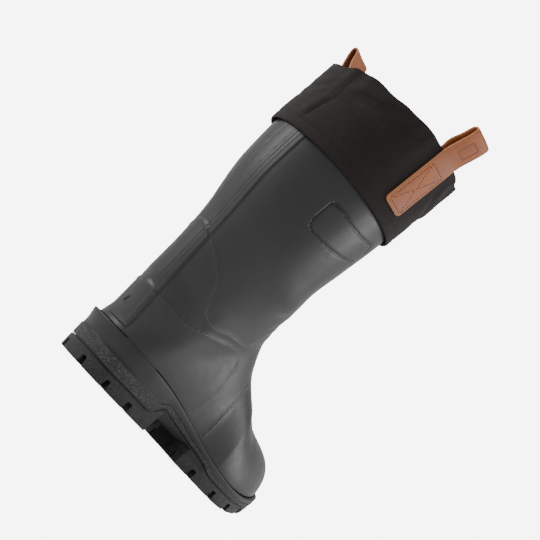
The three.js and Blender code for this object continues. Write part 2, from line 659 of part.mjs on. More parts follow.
function acrossPath(count) {
  const triangles = [];
  for (let i = 0; i < count / 2 - 1; i += 1) {
    triangles.push([i, i + 1, count - 1 - i], [i + 1, count - 2 - i, count - 1 - i]);
  }
  return triangles;
}

// Meshes
function toMesh(name, solid, material) {
  const data = solid.getMesh();
  const geometry = new THREE.BufferGeometry();
  geometry.setAttribute('position', new THREE.BufferAttribute(new Float32Array(data.vertProperties), 3));
  geometry.setIndex(new THREE.BufferAttribute(new Uint32Array(data.triVerts), 1));
  geometry.computeVertexNormals();
  const mesh = new THREE.Mesh(geometry, material);
  mesh.name = name;
  return mesh;
}

const boot = new THREE.Group();
boot.position.set(0, -HEEL_REST_ALONG, 0);
boot.add(toMesh('outsole', outsole(), TREAD));
boot.add(toMesh('heel_insert', treadInsert(HEEL_INSERT), INSERT));
boot.add(toMesh('forefoot_insert', treadInsert(FORE_INSERT), INSERT));
boot.add(toMesh('midsole_rand', midsole(), RUBBER));
boot.add(toMesh('insole', insole(), FELT));
boot.add(toMesh('upper', upper(), RUBBER));
boot.add(toMesh('backstay', backstay(), RUBBER));
boot.add(toMesh('cuff', cuff(), FABRIC));
boot.add(toMesh('pull_loop_inner', pullLoop(RING_POINTS / 4), LEATHER));
boot.add(toMesh('pull_loop_outer', pullLoop((25 * RING_POINTS) / 32), LEATHER));

export default boot;
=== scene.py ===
import math

import bmesh
import bpy
import numpy as np
from mathutils import Matrix, Vector
from mathutils.bvhtree import BVHTree


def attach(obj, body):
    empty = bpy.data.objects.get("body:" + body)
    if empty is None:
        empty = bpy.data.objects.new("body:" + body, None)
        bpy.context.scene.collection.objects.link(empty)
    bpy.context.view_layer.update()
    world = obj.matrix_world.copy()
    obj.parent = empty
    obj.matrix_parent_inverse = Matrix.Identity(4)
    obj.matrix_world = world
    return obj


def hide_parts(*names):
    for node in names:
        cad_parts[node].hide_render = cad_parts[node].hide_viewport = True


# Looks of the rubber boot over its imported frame. Lengths are in millimetres until a mesh is made
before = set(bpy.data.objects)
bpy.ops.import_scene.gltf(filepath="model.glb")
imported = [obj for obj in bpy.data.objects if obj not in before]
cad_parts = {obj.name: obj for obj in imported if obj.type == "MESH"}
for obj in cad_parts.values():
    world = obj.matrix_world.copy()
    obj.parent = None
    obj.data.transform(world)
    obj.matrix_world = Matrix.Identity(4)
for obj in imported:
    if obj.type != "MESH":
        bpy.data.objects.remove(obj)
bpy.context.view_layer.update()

# Named sizes, the same as the solids'
LENGTH, BALL, INSTEP, SHAFT, SHAFT_WIDTH = 293.5, 118, 165, 300, 138
WALL, GAP, HEEL_REST = 2.8, 0.3, 12
TOE_SPRING, UPPER_SPRING, HEEL_STACK, FORE_STACK = 20, 14.4, 30, 17
OUTSOLE_HEEL, OUTSOLE_FORE = 14, 13
SHANK_UNDERSIDE, SHANK_SLOPE, SHANK_PLATE = 15, 0.106, 5.5
RAND_LIP, LEDGE_REACH = 4.5, 11
BACKSTAY_HALF, BACKSTAY_RAISE, BACKSTAY_LOW, BACKSTAY_TOP = 18.5, 1.3, 47.5, 290
CUFF_BASE, CUFF_TOP, CUFF_CLEARANCE, CUFF_THICKNESS, CUFF_FLARE = 267, 346, 2.2, 2.4, 1.5
CUFF_HEIGHT = CUFF_TOP - CUFF_BASE
STRAP_THICKNESS, STRAP_HALF, LOOP_RISE = 2.2, 14.5, 32
STUD_RADIUS, STUD_DROP, INSERT_FACE = 5, 4.35, 6

# Sole outline in shares: along, inner side, outer side, inner rim, outer rim
OUTLINE = np.array([
    (0.0085, 0.119, 0.119, 0.126, 0.126), (0.034, 0.229, 0.229, 0.238, 0.238),
    (0.082, 0.309, 0.306, 0.32, 0.318), (0.16, 0.347, 0.347, 0.362, 0.362),
    (0.24, 0.352, 0.356, 0.369, 0.371), (0.3, 0.347, 0.354, 0.368, 0.37),
    (0.354, 0.331, 0.33, 0.37, 0.364), (0.426, 0.335, 0.36, 0.381, 0.383),
    (0.497, 0.381, 0.424, 0.412, 0.437), (0.566, 0.445, 0.475, 0.453, 0.48),
    (0.647, 0.479, 0.513, 0.483, 0.517), (0.722, 0.479, 0.521, 0.483, 0.525),
    (0.79, 0.441, 0.483, 0.445, 0.487), (0.859, 0.369, 0.403, 0.373, 0.407),
    (0.92, 0.271, 0.322, 0.276, 0.326), (0.968, 0.165, 0.233, 0.17, 0.236),
    (0.993, 0.068, 0.11, 0.075, 0.114),
])
# Tops of the rand and of the vamp: share along, share up
RAND_TOP = np.array([
    (0, 1.45), (0.2, 1.42), (0.34, 1.27), (0.48, 1.0), (0.61, 0.79), (0.73, 0.717), (1, 0.717),
])
VAMP_TOP = np.array([
    (0.606, 0.582), (0.65, 0.525), (0.7, 0.474), (0.766, 0.446), (0.835, 0.425),
    (0.893, 0.402), (0.937, 0.373), (0.964, 0.345), (0.981, 0.303), (0.989, 0.255),
])
# Sections of the shaft: front, front up, back, back up, half width, shift, widest place, squareness
TURN = np.array([
    (0.548, 0.66, 0.436, 0.09, 0.297, 0, 0.3, 3.6), (0.508, 0.75, 0.242, 0.11, 0.29, 0.005, 0.34, 3.4),
    (0.487, 0.822, 0.03, 0.125, 0.287, 0.012, 0.36, 2.7), (0.476, 0.865, 0.015, 0.34, 0.29, 0.018, 0.4, 2.2),
    (0.462, 0.915, -0.004, 0.6, 0.292, 0.032, 0.44, 2.1), (0.452, 0.957, -0.015, 0.8, 0.313, 0.042, 0.47, 2),
    (0.441, 1, -0.024, 1, 0.358, 0.044, 0.5, 2), (0.425, 1.185, -0.036, 1.185, 0.4, 0.034, 0.5, 2),
    (0.439, 1.41, -0.051, 1.41, 0.444, 0.02, 0.5, 2), (0.455, 1.63, -0.054, 1.63, 0.471, 0.008, 0.5, 2),
    (0.462, 1.815, -0.053, 1.815, 0.484, 0.004, 0.5, 2), (0.466, 2, -0.05, 2, 0.492, 0.006, 0.5, 2),
    (0.457, 2.35, -0.046, 2.35, 0.5, 0.03, 0.5, 2),
])
# Studs of the inserts: share along, share of the ball's width to the side
HEEL_STUDS = [(0.133, -0.006), (0.168, -0.072), (0.173, 0.059), (0.207, -0.014)]
FORE_STUDS = [
    (0.603, -0.025), (0.647, -0.114), (0.646, 0.035), (0.687, -0.182), (0.697, 0.08), (0.713, -0.056),
    (0.746, -0.144), (0.751, 0.027), (0.793, -0.165), (0.778, -0.058), (0.801, 0.042), (0.817, -0.048),
    (0.843, -0.132), (0.865, -0.035), (0.847, 0.047),
]


# Steps, tables and heights
def step(low, high, value):
    t = np.clip((np.asarray(value, float) - low) / (high - low), 0, 1)
    return t * t * (3 - 2 * t)


def hermite(a, b, c, d, t):
    left, right = (c - a) / 2, (d - b) / 2
    return (2 * b - 2 * c + left + right) * t**3 + (3 * c - 3 * b - 2 * left - right) * t**2 + left * t + b


def four_around(rows, i):
    return [rows[min(max(i + k, 0), len(rows) - 1)] for k in (-1, 0, 1, 2)]


def look_up(table, share):
    row = 0
    while row < len(table) - 2 and share > table[row + 1][0]:
        row += 1
    t = min(max((share - table[row][0]) / (table[row + 1][0] - table[row][0]), 0), 1)
    return hermite(*(point[1] for point in four_around(table, row)), t)


def spring(along):
    return np.maximum(0, (along / LENGTH - 0.66) / 0.34) ** 2


def split_at(along):
    plate = SHANK_UNDERSIDE + SHANK_SLOPE * (0.475 * LENGTH - along) + SHANK_PLATE
    rear = OUTSOLE_HEEL + (plate - OUTSOLE_HEEL) * step(0.25 * LENGTH, 0.298 * LENGTH, along)
    fall = step(0.53 * LENGTH, 0.61 * LENGTH, along)
    return rear + (OUTSOLE_FORE - rear) * fall + UPPER_SPRING * spring(along)


def footbed_at(along):
    forward = step(0.34 * LENGTH, 0.65 * LENGTH, along)
    return HEEL_STACK + (FORE_STACK - HEEL_STACK) * forward + UPPER_SPRING * spring(along)


def rand_top_at(along):
    height = np.array([look_up(RAND_TOP, share) for share in np.atleast_1d(along) / LENGTH])
    return HEEL_STACK * height + UPPER_SPRING * spring(np.atleast_1d(along))


def outline_ring(inset=0.0, rim=0.0, ledge=0.0, steps=8):
    inner = OUTLINE[:, 1] + (OUTLINE[:, 3] - OUTLINE[:, 1]) * rim
    outer = OUTLINE[:, 2] + (OUTLINE[:, 4] - OUTLINE[:, 2]) * rim
    along = OUTLINE[:, 0] * LENGTH
    corners = np.vstack([
        [[0, 0]], np.stack([inner * BALL, along], 1), [[-0.012 * BALL, LENGTH]],
        np.stack([-outer * BALL, along], 1)[::-1],
    ])
    points, tangents = [], []
    for i in range(len(corners)):
        a, b, c, d = (corners[(i + k) % len(corners)] for k in (-1, 0, 1, 2))
        for s in range(steps):
            t = s / steps
            points.append(hermite(a, b, c, d, t))
            tangents.append(hermite(a, b, c, d, t + 1e-3) - hermite(a, b, c, d, t))
    points, tangents = np.array(points), np.array(tangents)
    normal = np.stack([tangents[:, 1], -tangents[:, 0]], 1)
    normal /= np.linalg.norm(normal, axis=1, keepdims=True)
    out = ledge * step(LEDGE_REACH, 0, points[:, 1]) - inset
    return points + normal * out[:, None], normal


# The upper's form: rows of sections from the toe to the shaft
RIM = outline_ring(rim=1, steps=12)[0]
RIM_HALF = len(RIM) // 2
RIM_SIDES = {1: RIM[:RIM_HALF + 1], -1: np.vstack([RIM[:1], RIM[RIM_HALF:][::-1]])}


def half_width(sign, share):
    walk = RIM_SIDES[sign]
    return abs(float(np.interp(share * LENGTH, walk[:, 1], walk[:, 0])))


# A row: front along, front up, back along, back up, inner half, outer half, shift, widest place,
# squareness behind and in front, and how far it leans to the toe
def foot_row(share):
    along = share * LENGTH
    inset = 1 - 2 * (RAND_LIP + GAP) / BALL
    stretch = min(share * 1.011, 0.9995)
    return np.array([
        along, INSTEP * look_up(VAMP_TOP, share), along, float(footbed_at(along)) - 10,
        half_width(1, stretch) * inset, half_width(-1, stretch) * inset,
        0, 0.22, 3.6, 1.95, float(step(0.8, 0.99, share)),
    ])


def turn_row(row):
    front, front_up, back, back_up, half, shift, widest, square = row
    rise = [INSTEP * min(up, 1) + (SHAFT - INSTEP) * max(up - 1, 0) for up in (front_up, back_up)]
    side = half * SHAFT_WIDTH
    return np.array([
        front * LENGTH, rise[0], back * LENGTH, rise[1], side, side,
        shift * SHAFT_WIDTH, widest, square, 2.1, 0,
    ])


SHAFT_ROWS = [turn_row(row) for row in TURN]
TURN_ROWS = [foot_row(0.606)] + SHAFT_ROWS
TOP_ROW = 12


def mix_rows(rows, place):
    i = min(int(place), len(rows) - 2)
    return hermite(*four_around(rows, i), place - i)


def row_at(height):
    i = 0
    while i < len(SHAFT_ROWS) - 2 and SHAFT_ROWS[i + 1][3] < height:
        i += 1
    span = SHAFT_ROWS[i + 1][3] - SHAFT_ROWS[i][3]
    return mix_rows(SHAFT_ROWS, i + (height - SHAFT_ROWS[i][3]) / span)


def ring_at(row, grow, turns):
    start, end = row[[2, 3]], row[[0, 1]]
    length = np.linalg.norm(end - start)
    axis = (end - start) / length

    def flat(turn):
        front = np.cos(turn) < 0
        power = 2 / np.where(front, row[9], row[8])
        reach, width = np.abs(np.cos(turn)) ** power, np.abs(np.sin(turn)) ** power
        lift = np.where(front, row[7] + (1 - row[7]) * reach, row[7] * (1 - reach))
        return np.stack([np.where(np.sin(turn) > 0, width * row[4], -width * row[5]), lift * length], 1)

    middle, before, after = flat(turns), flat(turns - 0.15), flat(turns + 0.15)
    normal = np.stack([after[:, 1] - before[:, 1], before[:, 0] - after[:, 0]], 1)
    normal /= np.linalg.norm(normal, axis=1, keepdims=True)
    tip = min(max(row[10], 0), 1)
    grow = np.asarray(grow, float)
    outward = math.sqrt(1 - tip**2) * grow
    up = middle[:, 1] + normal[:, 1] * outward
    along = start[0] + axis[0] * up + tip * grow
    return np.stack([row[6] + middle[:, 0] + normal[:, 0] * outward, along, start[1] + axis[1] * up], 1)


# Meshes
def make_object(name, points, faces, material, node=None, sharp=40):
    mesh = bpy.data.meshes.new(name)
    places = (np.asarray(points, float) - [0, HEEL_REST, 0]) * 0.001
    mesh.from_pydata(places.tolist(), [], faces)
    mesh.validate()
    bm = bmesh.new()
    bm.from_mesh(mesh)
    bmesh.ops.recalc_face_normals(bm, faces=bm.faces)
    return finish_piece(bm, mesh, material, node, sharp)


def add_object(name, data):
    obj = bpy.data.objects.new(name, data)
    bpy.context.scene.collection.objects.link(obj)
    return obj


def finish_piece(bm, mesh, material, node, sharp):
    bm.to_mesh(mesh)
    bm.free()
    mesh.shade_smooth()
    mesh.set_sharp_from_angle(angle=math.radians(sharp))
    mesh.materials.append(material)
    obj = add_object(mesh.name, mesh)
    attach(obj, "root")
    if node:
        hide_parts(node)
    return obj


def grid_faces(rows, columns, closed=True, looped=False):
    """Faces of a grid, closed round its columns, and looped from its last row to its first."""
    faces = []
    for r in range(rows if looped else rows - 1):
        s = (r + 1) % rows
        for c in range(columns if closed else columns - 1):
            d = (c + 1) % columns
            faces.append((r * columns + c, r * columns + d, s * columns + d, s * columns + c))
    return faces


def above_footbed(points, rows, columns, lift):
    """Faces of a grid over the footbed, closed at the toe, and the numbers of the points that they use."""
    hidden = points[:, 2] < footbed_at(points[:, 1]) + lift
    faces = [face for face in grid_faces(rows, columns) if not all(hidden[list(face)])]
    faces.append(tuple(range(columns)))
    used = sorted({v for face in faces for v in face})
    remap = {v: i for i, v in enumerate(used)}
    return [tuple(remap[v] for v in face) for face in faces], used


def grid_normals(points, rows, columns):
    grid = points.reshape(rows, columns, 3)
    across = np.roll(grid, -1, 1) - np.roll(grid, 1, 1)
    up = np.gradient(grid, axis=0)
    normal = np.cross(across, up)
    normal /= np.maximum(np.linalg.norm(normal, axis=2, keepdims=True), 1e-9)
    return normal.reshape(-1, 3)


def set_attribute(obj, name, values):
    layer = obj.data.attributes.new(name, "FLOAT", "POINT")
    layer.data.foreach_set("value", np.asarray(values, np.float32))


def smooth_line(points, spacing=1.5):
    points = np.array(points, float)
    out = []
    for i in range(len(points) - 1):
        steps = max(2, int(np.linalg.norm(points[i + 1] - points[i]) / spacing))
        out += [hermite(*four_around(points, i), s / steps) for s in range(steps)]
    out.append(points[-1])
    return np.array(out)


def walk_along(points):
    """Distance along a line from its first point to each of its points."""
    return np.concatenate([[0], np.cumsum(np.linalg.norm(np.diff(points, axis=0), axis=1))])


def circle(place, radius, sides):
    spins = [math.tau * c / sides for c in range(sides)]
    return [(place[0] + radius * math.cos(spin), place[1] + radius * math.sin(spin)) for spin in spins]


def soft(distance, width):
    return np.exp(-(distance / width) ** 2)


def smoothed(values, rounds=14):
    for _ in range(rounds):
        for axis in (0, 1):
            wide = np.pad(values, 1, mode="reflect", reflect_type="odd")
            wide = wide[:, 1:-1] if axis == 0 else wide[1:-1]
            before, after = (wide[:-2], wide[2:]) if axis == 0 else (wide[:, :-2], wide[:, 2:])
            values = 0.5 * values + 0.25 * (before + after)
    return values


def line_field(points, normals, line, reach):
    """Distance from a line in whole millimetres, with a sign for its side, and 1 between its ends."""
    signed, inside = np.full(len(points), float(reach)), np.zeros(len(points))
    near = np.where(((points > line.min(0) - reach) & (points < line.max(0) + reach)).all(1))[0]
    spot, facing = points[near], normals[near]
    best = np.full(len(near), 1e9)
    value, between = np.full(len(near), float(reach)), np.zeros(len(near))
    for i in range(len(line) - 1):
        along = line[i + 1] - line[i]
        size = along @ along
        if size < 1e-9:
            continue
        t = (spot - line[i]) @ along / size
        gap = spot - (line[i] + np.clip(t, 0, 1)[:, None] * along)
        far = np.linalg.norm(gap, axis=1)
        closer = far < best
        best = np.where(closer, far, best)
        value = np.where(closer, far * np.sign((np.cross(along, facing) * gap).sum(1)), value)
        end = ((i == 0) & (t < 0)) | ((i == len(line) - 2) & (t > 1))
        between = np.where(closer, np.where(end, np.clip(1 - far / 3, 0, 1), 1), between)
    signed[near], inside[near] = np.trunc(value), between
    return signed, inside


def laid(line, side, points):
    """A line of the inner side, or its mirror image on the outer side, laid over the nearest points."""
    spots = np.array(line, float) * (side, 1, 1)
    return smooth_line([points[np.argmin(((points - spot) ** 2).sum(1))] for spot in spots])


# Materials
def shader_of(name, colour, roughness, specular, sheen=0.0):
    material = bpy.data.materials.new(name)
    material.use_nodes = True
    n = Nodes(material)
    values = {"Base Color": (*colour, 1), "Roughness": roughness, "Specular IOR Level": specular}
    for socket, value in {**values, "Sheen Weight": sheen}.items():
        n.shader.inputs[socket].default_value = value
    return n


class Nodes:
    """Short way to add linked nodes to a material or world."""

    def __init__(self, owner, shader="Principled BSDF"):
        self.owner, self.tree = owner, owner.node_tree
        self.shader = self.tree.nodes[shader]
        self.place = self.add("ShaderNodeTexCoord").outputs["Object"]

    def add(self, kind, links=None, **values):
        node = self.tree.nodes.new(kind)
        for key, value in values.items():
            setattr(node, key, value)
        for key, value in (links or {}).items():
            socket = node.inputs[key]
            if isinstance(value, bpy.types.NodeSocket):
                self.tree.links.new(value, socket)
            else:
                socket.default_value = value
        return node

    def noise(self, scale, detail=3.0, rough=0.5):
        links = {"Vector": self.place, "Scale": scale, "Detail": detail, "Roughness": rough}
        return self.add("ShaderNodeTexNoise", links).outputs["Fac"]

    def math(self, operation, a, b=0.0):
        return self.add("ShaderNodeMath", {0: a, 1: b}, operation=operation).outputs[0]

    def times(self, a, b):
        return self.math("MULTIPLY", a, b)

    def span(self, value, low, high, start=0.0, end=1.0):
        links = {"Value": value, "From Min": low, "From Max": high, "To Min": start, "To Max": end}
        return self.add("ShaderNodeMapRange", links).outputs["Result"]

    def spread(self, cloud, start=0.0, end=1.0):
        """The middle of a noise, spread over a whole range."""
        return self.span(cloud, 0.3, 0.7, start, end)

    def attribute(self, name):
        return self.add("ShaderNodeAttribute", attribute_name=name).outputs["Fac"]

    def on_lines(self, names, low, high):
        """1 on two named lines and 0 beside them."""
        masks = []
        for name in names:
            beside = self.span(self.math("ABSOLUTE", self.attribute(name)), low, high, 1, 0)
            masks.append(self.times(beside, self.attribute(name + "_near")))
        return self.math("MAXIMUM", *masks)

    def camera_ray(self):
        return self.add("ShaderNodeLightPath").outputs["Is Camera Ray"]

    def mix(self, factor, first, second):
        first, second = ((*value, 1) if isinstance(value, tuple) else value for value in (first, second))
        return self.add("ShaderNodeMix", {0: factor, 6: first, 7: second}, data_type="RGBA").outputs[2]

    def feed(self, socket, value):
        self.tree.links.new(value, self.shader.inputs[socket])

    def bump(self, height, distance, strength, normal=None):
        links = {"Height": height, "Distance": distance, "Strength": strength}
        links |= {"Normal": normal} if normal else {}
        out = self.add("ShaderNodeBump", links).outputs["Normal"]
        self.feed("Normal", out)
        return out


def rubber_material():
    n = shader_of("body_rubber", (0.014, 0.0142, 0.0145), 0.42, 0.32)
    cloud, dust = n.noise(16, 4), n.noise(130, 5, 0.65)
    pressed_shaded_lines = n.on_lines(("badge_top", "badge_low"), 0.45, 0.95)
    raised_highlit_seams = n.on_lines(("patch", "counter"), 0.1, 0.9)
    shade = n.mix(n.spread(cloud), (0.0115, 0.0116, 0.0118), (0.0165, 0.0167, 0.017))
    shade = n.mix(n.times(n.span(dust, 0.58, 0.8), 0.2), shade, (0.035, 0.035, 0.035))
    # Painted highlight: the raised seam lines are coloured lighter, as if lit along their ridges
    shade = n.mix(n.times(raised_highlit_seams, 0.22), shade, (0.034, 0.034, 0.034))
    # Painted shade in the pressed badge lines, and painted shadow along the backstay's edges and the rand's
    # top, near black
    shade = n.mix(n.math("MAXIMUM", n.attribute("painted_shade"), pressed_shaded_lines), shade, (0.0015, 0.0015, 0.0015))
    n.feed("Base Color", shade)
    n.feed("Roughness", n.math("ADD", n.spread(cloud, 0.36, 0.44), n.span(dust, 0.4, 0.7, 0.0, 0.07)))
    fine = n.bump(n.noise(1500, 2), 0.00005, 0.3)
    lines = n.bump(n.math("SUBTRACT", n.times(raised_highlit_seams, 0.5), pressed_shaded_lines), 0.0005, 0.8, fine)
    n.bump(n.noise(45, 3), 0.0008, 0.18, lines)
    return n.owner


def rand_material():
    n = shader_of("rand_rubber", (0.012, 0.0122, 0.0125), 0.5, 0.3)
    grain, cloud, pits = n.attribute("grain"), n.noise(22, 4), n.noise(820, 4, 0.65)
    shade = n.mix(n.spread(cloud), (0.0095, 0.0097, 0.01), (0.0145, 0.0147, 0.015))
    shade = n.mix(n.times(grain, n.span(pits, 0.5, 0.68)), shade, (0.085, 0.084, 0.085))
    # Painted shade in the rand's groove and painted shadow on its lip, near black
    n.feed("Base Color", n.mix(n.attribute("painted_shade"), shade, (0.002, 0.002, 0.002)))
    n.feed("Roughness", n.math("ADD", n.spread(cloud, 0.46, 0.54), n.times(grain, 0.14)))
    n.bump(n.times(pits, n.span(grain, 0, 1, 0.04, 1)), 0.0011, 0.9)
    return n.owner


def tread_material():
    n = shader_of("tread_rubber", (0.007, 0.007, 0.0073), 0.6, 0.28)
    cloud, pits = n.noise(30, 4), n.noise(820, 4, 0.65)
    place = n.add("ShaderNodeSeparateXYZ", {0: n.place}).outputs
    # Smooth under the waist, in metres along and up
    waist = n.times(n.span(place["Y"], 0.071, 0.075), n.span(place["Y"], 0.158, 0.15))
    rough = n.math("SUBTRACT", 1.0, n.times(waist, n.span(place["Z"], 0.0105, 0.0125)))
    shade = n.mix(n.spread(cloud), (0.0055, 0.0055, 0.0058), (0.0095, 0.0095, 0.01))
    specks = n.times(n.span(pits, 0.5, 0.68), n.times(rough, 0.7))
    n.feed("Base Color", n.mix(specks, shade, (0.06, 0.06, 0.061)))
    n.feed("Roughness", n.spread(cloud, 0.52, 0.66))
    n.bump(n.times(pits, n.span(rough, 0, 1, 0.06, 1)), 0.0009, 0.9)
    return n.owner


def insert_material():
    n = shader_of("insert_rubber", (0.007, 0.0078, 0.0075), 0.45, 0.35)
    cloud = n.noise(60, 4)
    n.feed("Base Color", n.mix(n.spread(cloud), (0.0058, 0.0066, 0.0064), (0.0095, 0.0108, 0.0104)))
    n.feed("Roughness", n.spread(cloud, 0.38, 0.5))
    n.bump(n.noise(700, 2), 0.0002, 0.4)
    return n.owner


def felt_material(name, dark, light):
    n = shader_of(name, dark, 0.95, 0.2, sheen=0.15)
    fibre, patch = n.noise(420, 5, 0.7), n.noise(25, 3)
    shade = n.mix(n.span(fibre, 0.35, 0.65), dark, light)
    n.feed("Base Color", n.mix(n.times(n.span(patch, 0.4, 0.7), 0.3), shade, dark))
    n.bump(fibre, 0.0012, 0.8)
    return n.owner


def fabric_material():
    n = shader_of("cuff_fabric", (0.0115, 0.0088, 0.008), 0.85, 0.15, sheen=0.04)
    cloth = n.add("ShaderNodeUVMap", uv_map="cloth").outputs["UV"]
    threads = {"Vector": cloth, "Scale": 310.0, "Distortion": 0.6, "Detail": 1.0}
    warp, weft = (n.add("ShaderNodeTexWave", threads, bands_direction=way).outputs["Fac"] for way in "XY")
    weave, slub, cloud = n.times(warp, weft), n.noise(260, 4, 0.6), n.noise(14, 4)
    shade = n.mix(n.spread(cloud), (0.0085, 0.0066, 0.006), (0.0135, 0.0105, 0.0095))
    shade = n.mix(n.times(weave, 0.55), shade, (0.022, 0.0178, 0.0162))
    shade = n.mix(n.times(n.span(slub, 0.6, 0.8), 0.35), shade, (0.03, 0.0245, 0.0225))
    # Painted shade in the fold's crease, near black
    n.feed("Base Color", n.mix(n.attribute("painted_shade"), shade, (0.004, 0.003, 0.003)))
    n.feed("Roughness", n.spread(cloud, 0.78, 0.92))
    base = n.bump(n.math("ADD", weave, n.times(slub, 0.8)), 0.0004, 0.7)
    n.bump(n.noise(70, 3), 0.0012, 0.3, base)
    return n.owner


def leather_material():
    n = shader_of("strap_leather", (0.26, 0.076, 0.026), 0.5, 0.24)
    cloud, fine = n.noise(45, 4), n.noise(600, 4, 0.6)
    pores = n.add("ShaderNodeTexVoronoi", {"Vector": n.place, "Scale": 900.0}).outputs["Distance"]
    shade = n.mix(n.spread(cloud), (0.21, 0.058, 0.019), (0.305, 0.094, 0.034))
    shade = n.mix(n.times(n.span(fine, 0.5, 0.75), 0.35), shade, (0.15, 0.042, 0.014))
    shade = n.mix(n.attribute("edge"), shade, (0.36, 0.15, 0.06))
    # Painted shade in the pressed frame
    n.feed("Base Color", n.mix(n.attribute("painted_shade"), shade, (0.1, 0.029, 0.01)))
    n.feed("Roughness", n.spread(cloud, 0.42, 0.58))
    n.bump(fine, 0.0003, 0.4, n.bump(pores, 0.0003, 0.4))
    return n.owner


def plain_material(name, colour, roughness, specular=0.3):
    n = shader_of(name, colour, roughness, specular)
    dark = tuple(0.7 * c for c in colour)
    n.feed("Base Color", n.mix(n.spread(n.noise(300, 3)), dark, colour))
    return n.owner


RUBBER, RAND, TREAD = rubber_material(), rand_material(), tread_material()
INSERT, FABRIC, LEATHER = insert_material(), fabric_material(), leather_material()
FELT = felt_material("felt", (0.1, 0.1, 0.095), (0.2, 0.195, 0.185))
LINING = felt_material("knit_lining", (0.03, 0.028, 0.027), (0.07, 0.066, 0.062))
THREAD = plain_material("thread", (0.05, 0.013, 0.006), 0.7)
SHADOW = plain_material("joint_shadow", (0.001, 0.001, 0.001), 1.0, specular=0.0)


def darken(obj, faces):
    """Give some faces of a piece painted shadow, the dark of a deep joint."""
    obj.data.materials.append(SHADOW)
    for index in faces:
        obj.data.polygons[index].material_index = 1


# Lines of the upper's raised seams: side, along from the heel back, height
PATCH = [
    (18.6, -6.2, 150.3), (24.5, 0.2, 147.1), (32.9, 8.7, 140.9), (38, 18.9, 130.7), (40.2, 29.3, 114.1),
    (41.6, 37.5, 104.7), (43.1, 55.2, 102.2), (42.7, 70.6, 107.5), (40.7, 84.8, 110.1), (36.7, 102.4, 113.8),
    (34.4, 110, 124.4), (32, 117, 140), (22, 127, 147), (8, 132, 150),
]
COUNTER = [
    (18.6, 2.5, 85.8), (30.5, 15.1, 86.9), (38.1, 29.7, 86.4), (42.3, 47.6, 91.7), (42.3, 66.2, 97.8),
    (40.5, 86, 103), (37.5, 102, 106), (35.5, 112, 100), (38.2, 116, 82), (40.2, 115.5, 62), (41, 114, 44),
]
VAMP_SEAM = [(8, 152, 94), (22, 149, 88), (32, 147.5, 80), (39, 146, 66), (44, 145, 50), (47, 144, 34)]
# Name, line, height and width of each seam, and line, depth and width of each soft hollow
SEAMS = [("patch", PATCH, 0.34, 1.7), ("counter", COUNTER, 0.34, 1.9), ("patch", VAMP_SEAM, 0.26, 1.7)]
HOLLOWS = [
    ([(30, 5, 108), (38, 22, 104), (41, 40, 100)], 1.1, 9),
    ([(36, 96, 150), (30, 106, 165), (20, 112, 172)], 0.5, 8),
]
SEAM_REACH = 22
# Top of the counter: along, height
COUNTER_TOP = [(-20, 87), (2, 86), (30, 86.5), (48, 91.7), (66, 97.8), (86, 103), (102, 106), (112, 100)]
BADGE_UPPER = [
    (60.1, 28.5, 245.2), (62.1, 34.5, 247.2), (64.4, 43.5, 247), (65.7, 57.6, 246.6), (64.9, 72.9, 248),
    (61.7, 87, 251.5), (59.4, 94.2, 253.6), (57.6, 97.4, 251), (56.2, 99.5, 245),
]
BADGE_LOWER = [
    (60.6, 30.5, 248.4), (59.3, 26.7, 245.8), (58.3, 25.2, 239), (57.8, 25.3, 227.8), (57.9, 26.4, 219.9),
    (59.2, 30.3, 217.1), (61.3, 38.5, 217.2), (63.2, 50.2, 218.5), (63.5, 64.7, 220.9), (61.3, 80.4, 225.5),
    (56.5, 96, 232.5),
]


def run_through(spans):
    """Values of several spans in a row, each without its last one."""
    return np.concatenate([np.linspace(*span)[:-1] for span in spans])


def upper_turns():
    """Turns round the upper, closest together on the inner side and round the badge."""
    return np.radians(run_through([(-22, 60, 62), (60, 150, 80), (150, 180, 14), (180, 338, 84)]))


def upper_rows():
    foot = [foot_row(share) for share in [0.9885, *np.linspace(0.988, 0.606, 64)[:-1]]]
    places = run_through([(0, 7, 176), (7, 8.3, 26), (8.3, 10.7, 78), (10.7, TOP_ROW, 24)])
    return foot + [mix_rows(TURN_ROWS, place) for place in [*places, TOP_ROW]]


def grown(row, turns):
    """A ring of the upper, fuller in the bead under its rim."""
    bead = step(SHAFT - 9, SHAFT - 7.5, row[3])
    return ring_at(row, (CUFF_CLEARANCE - GAP) * bead, turns)


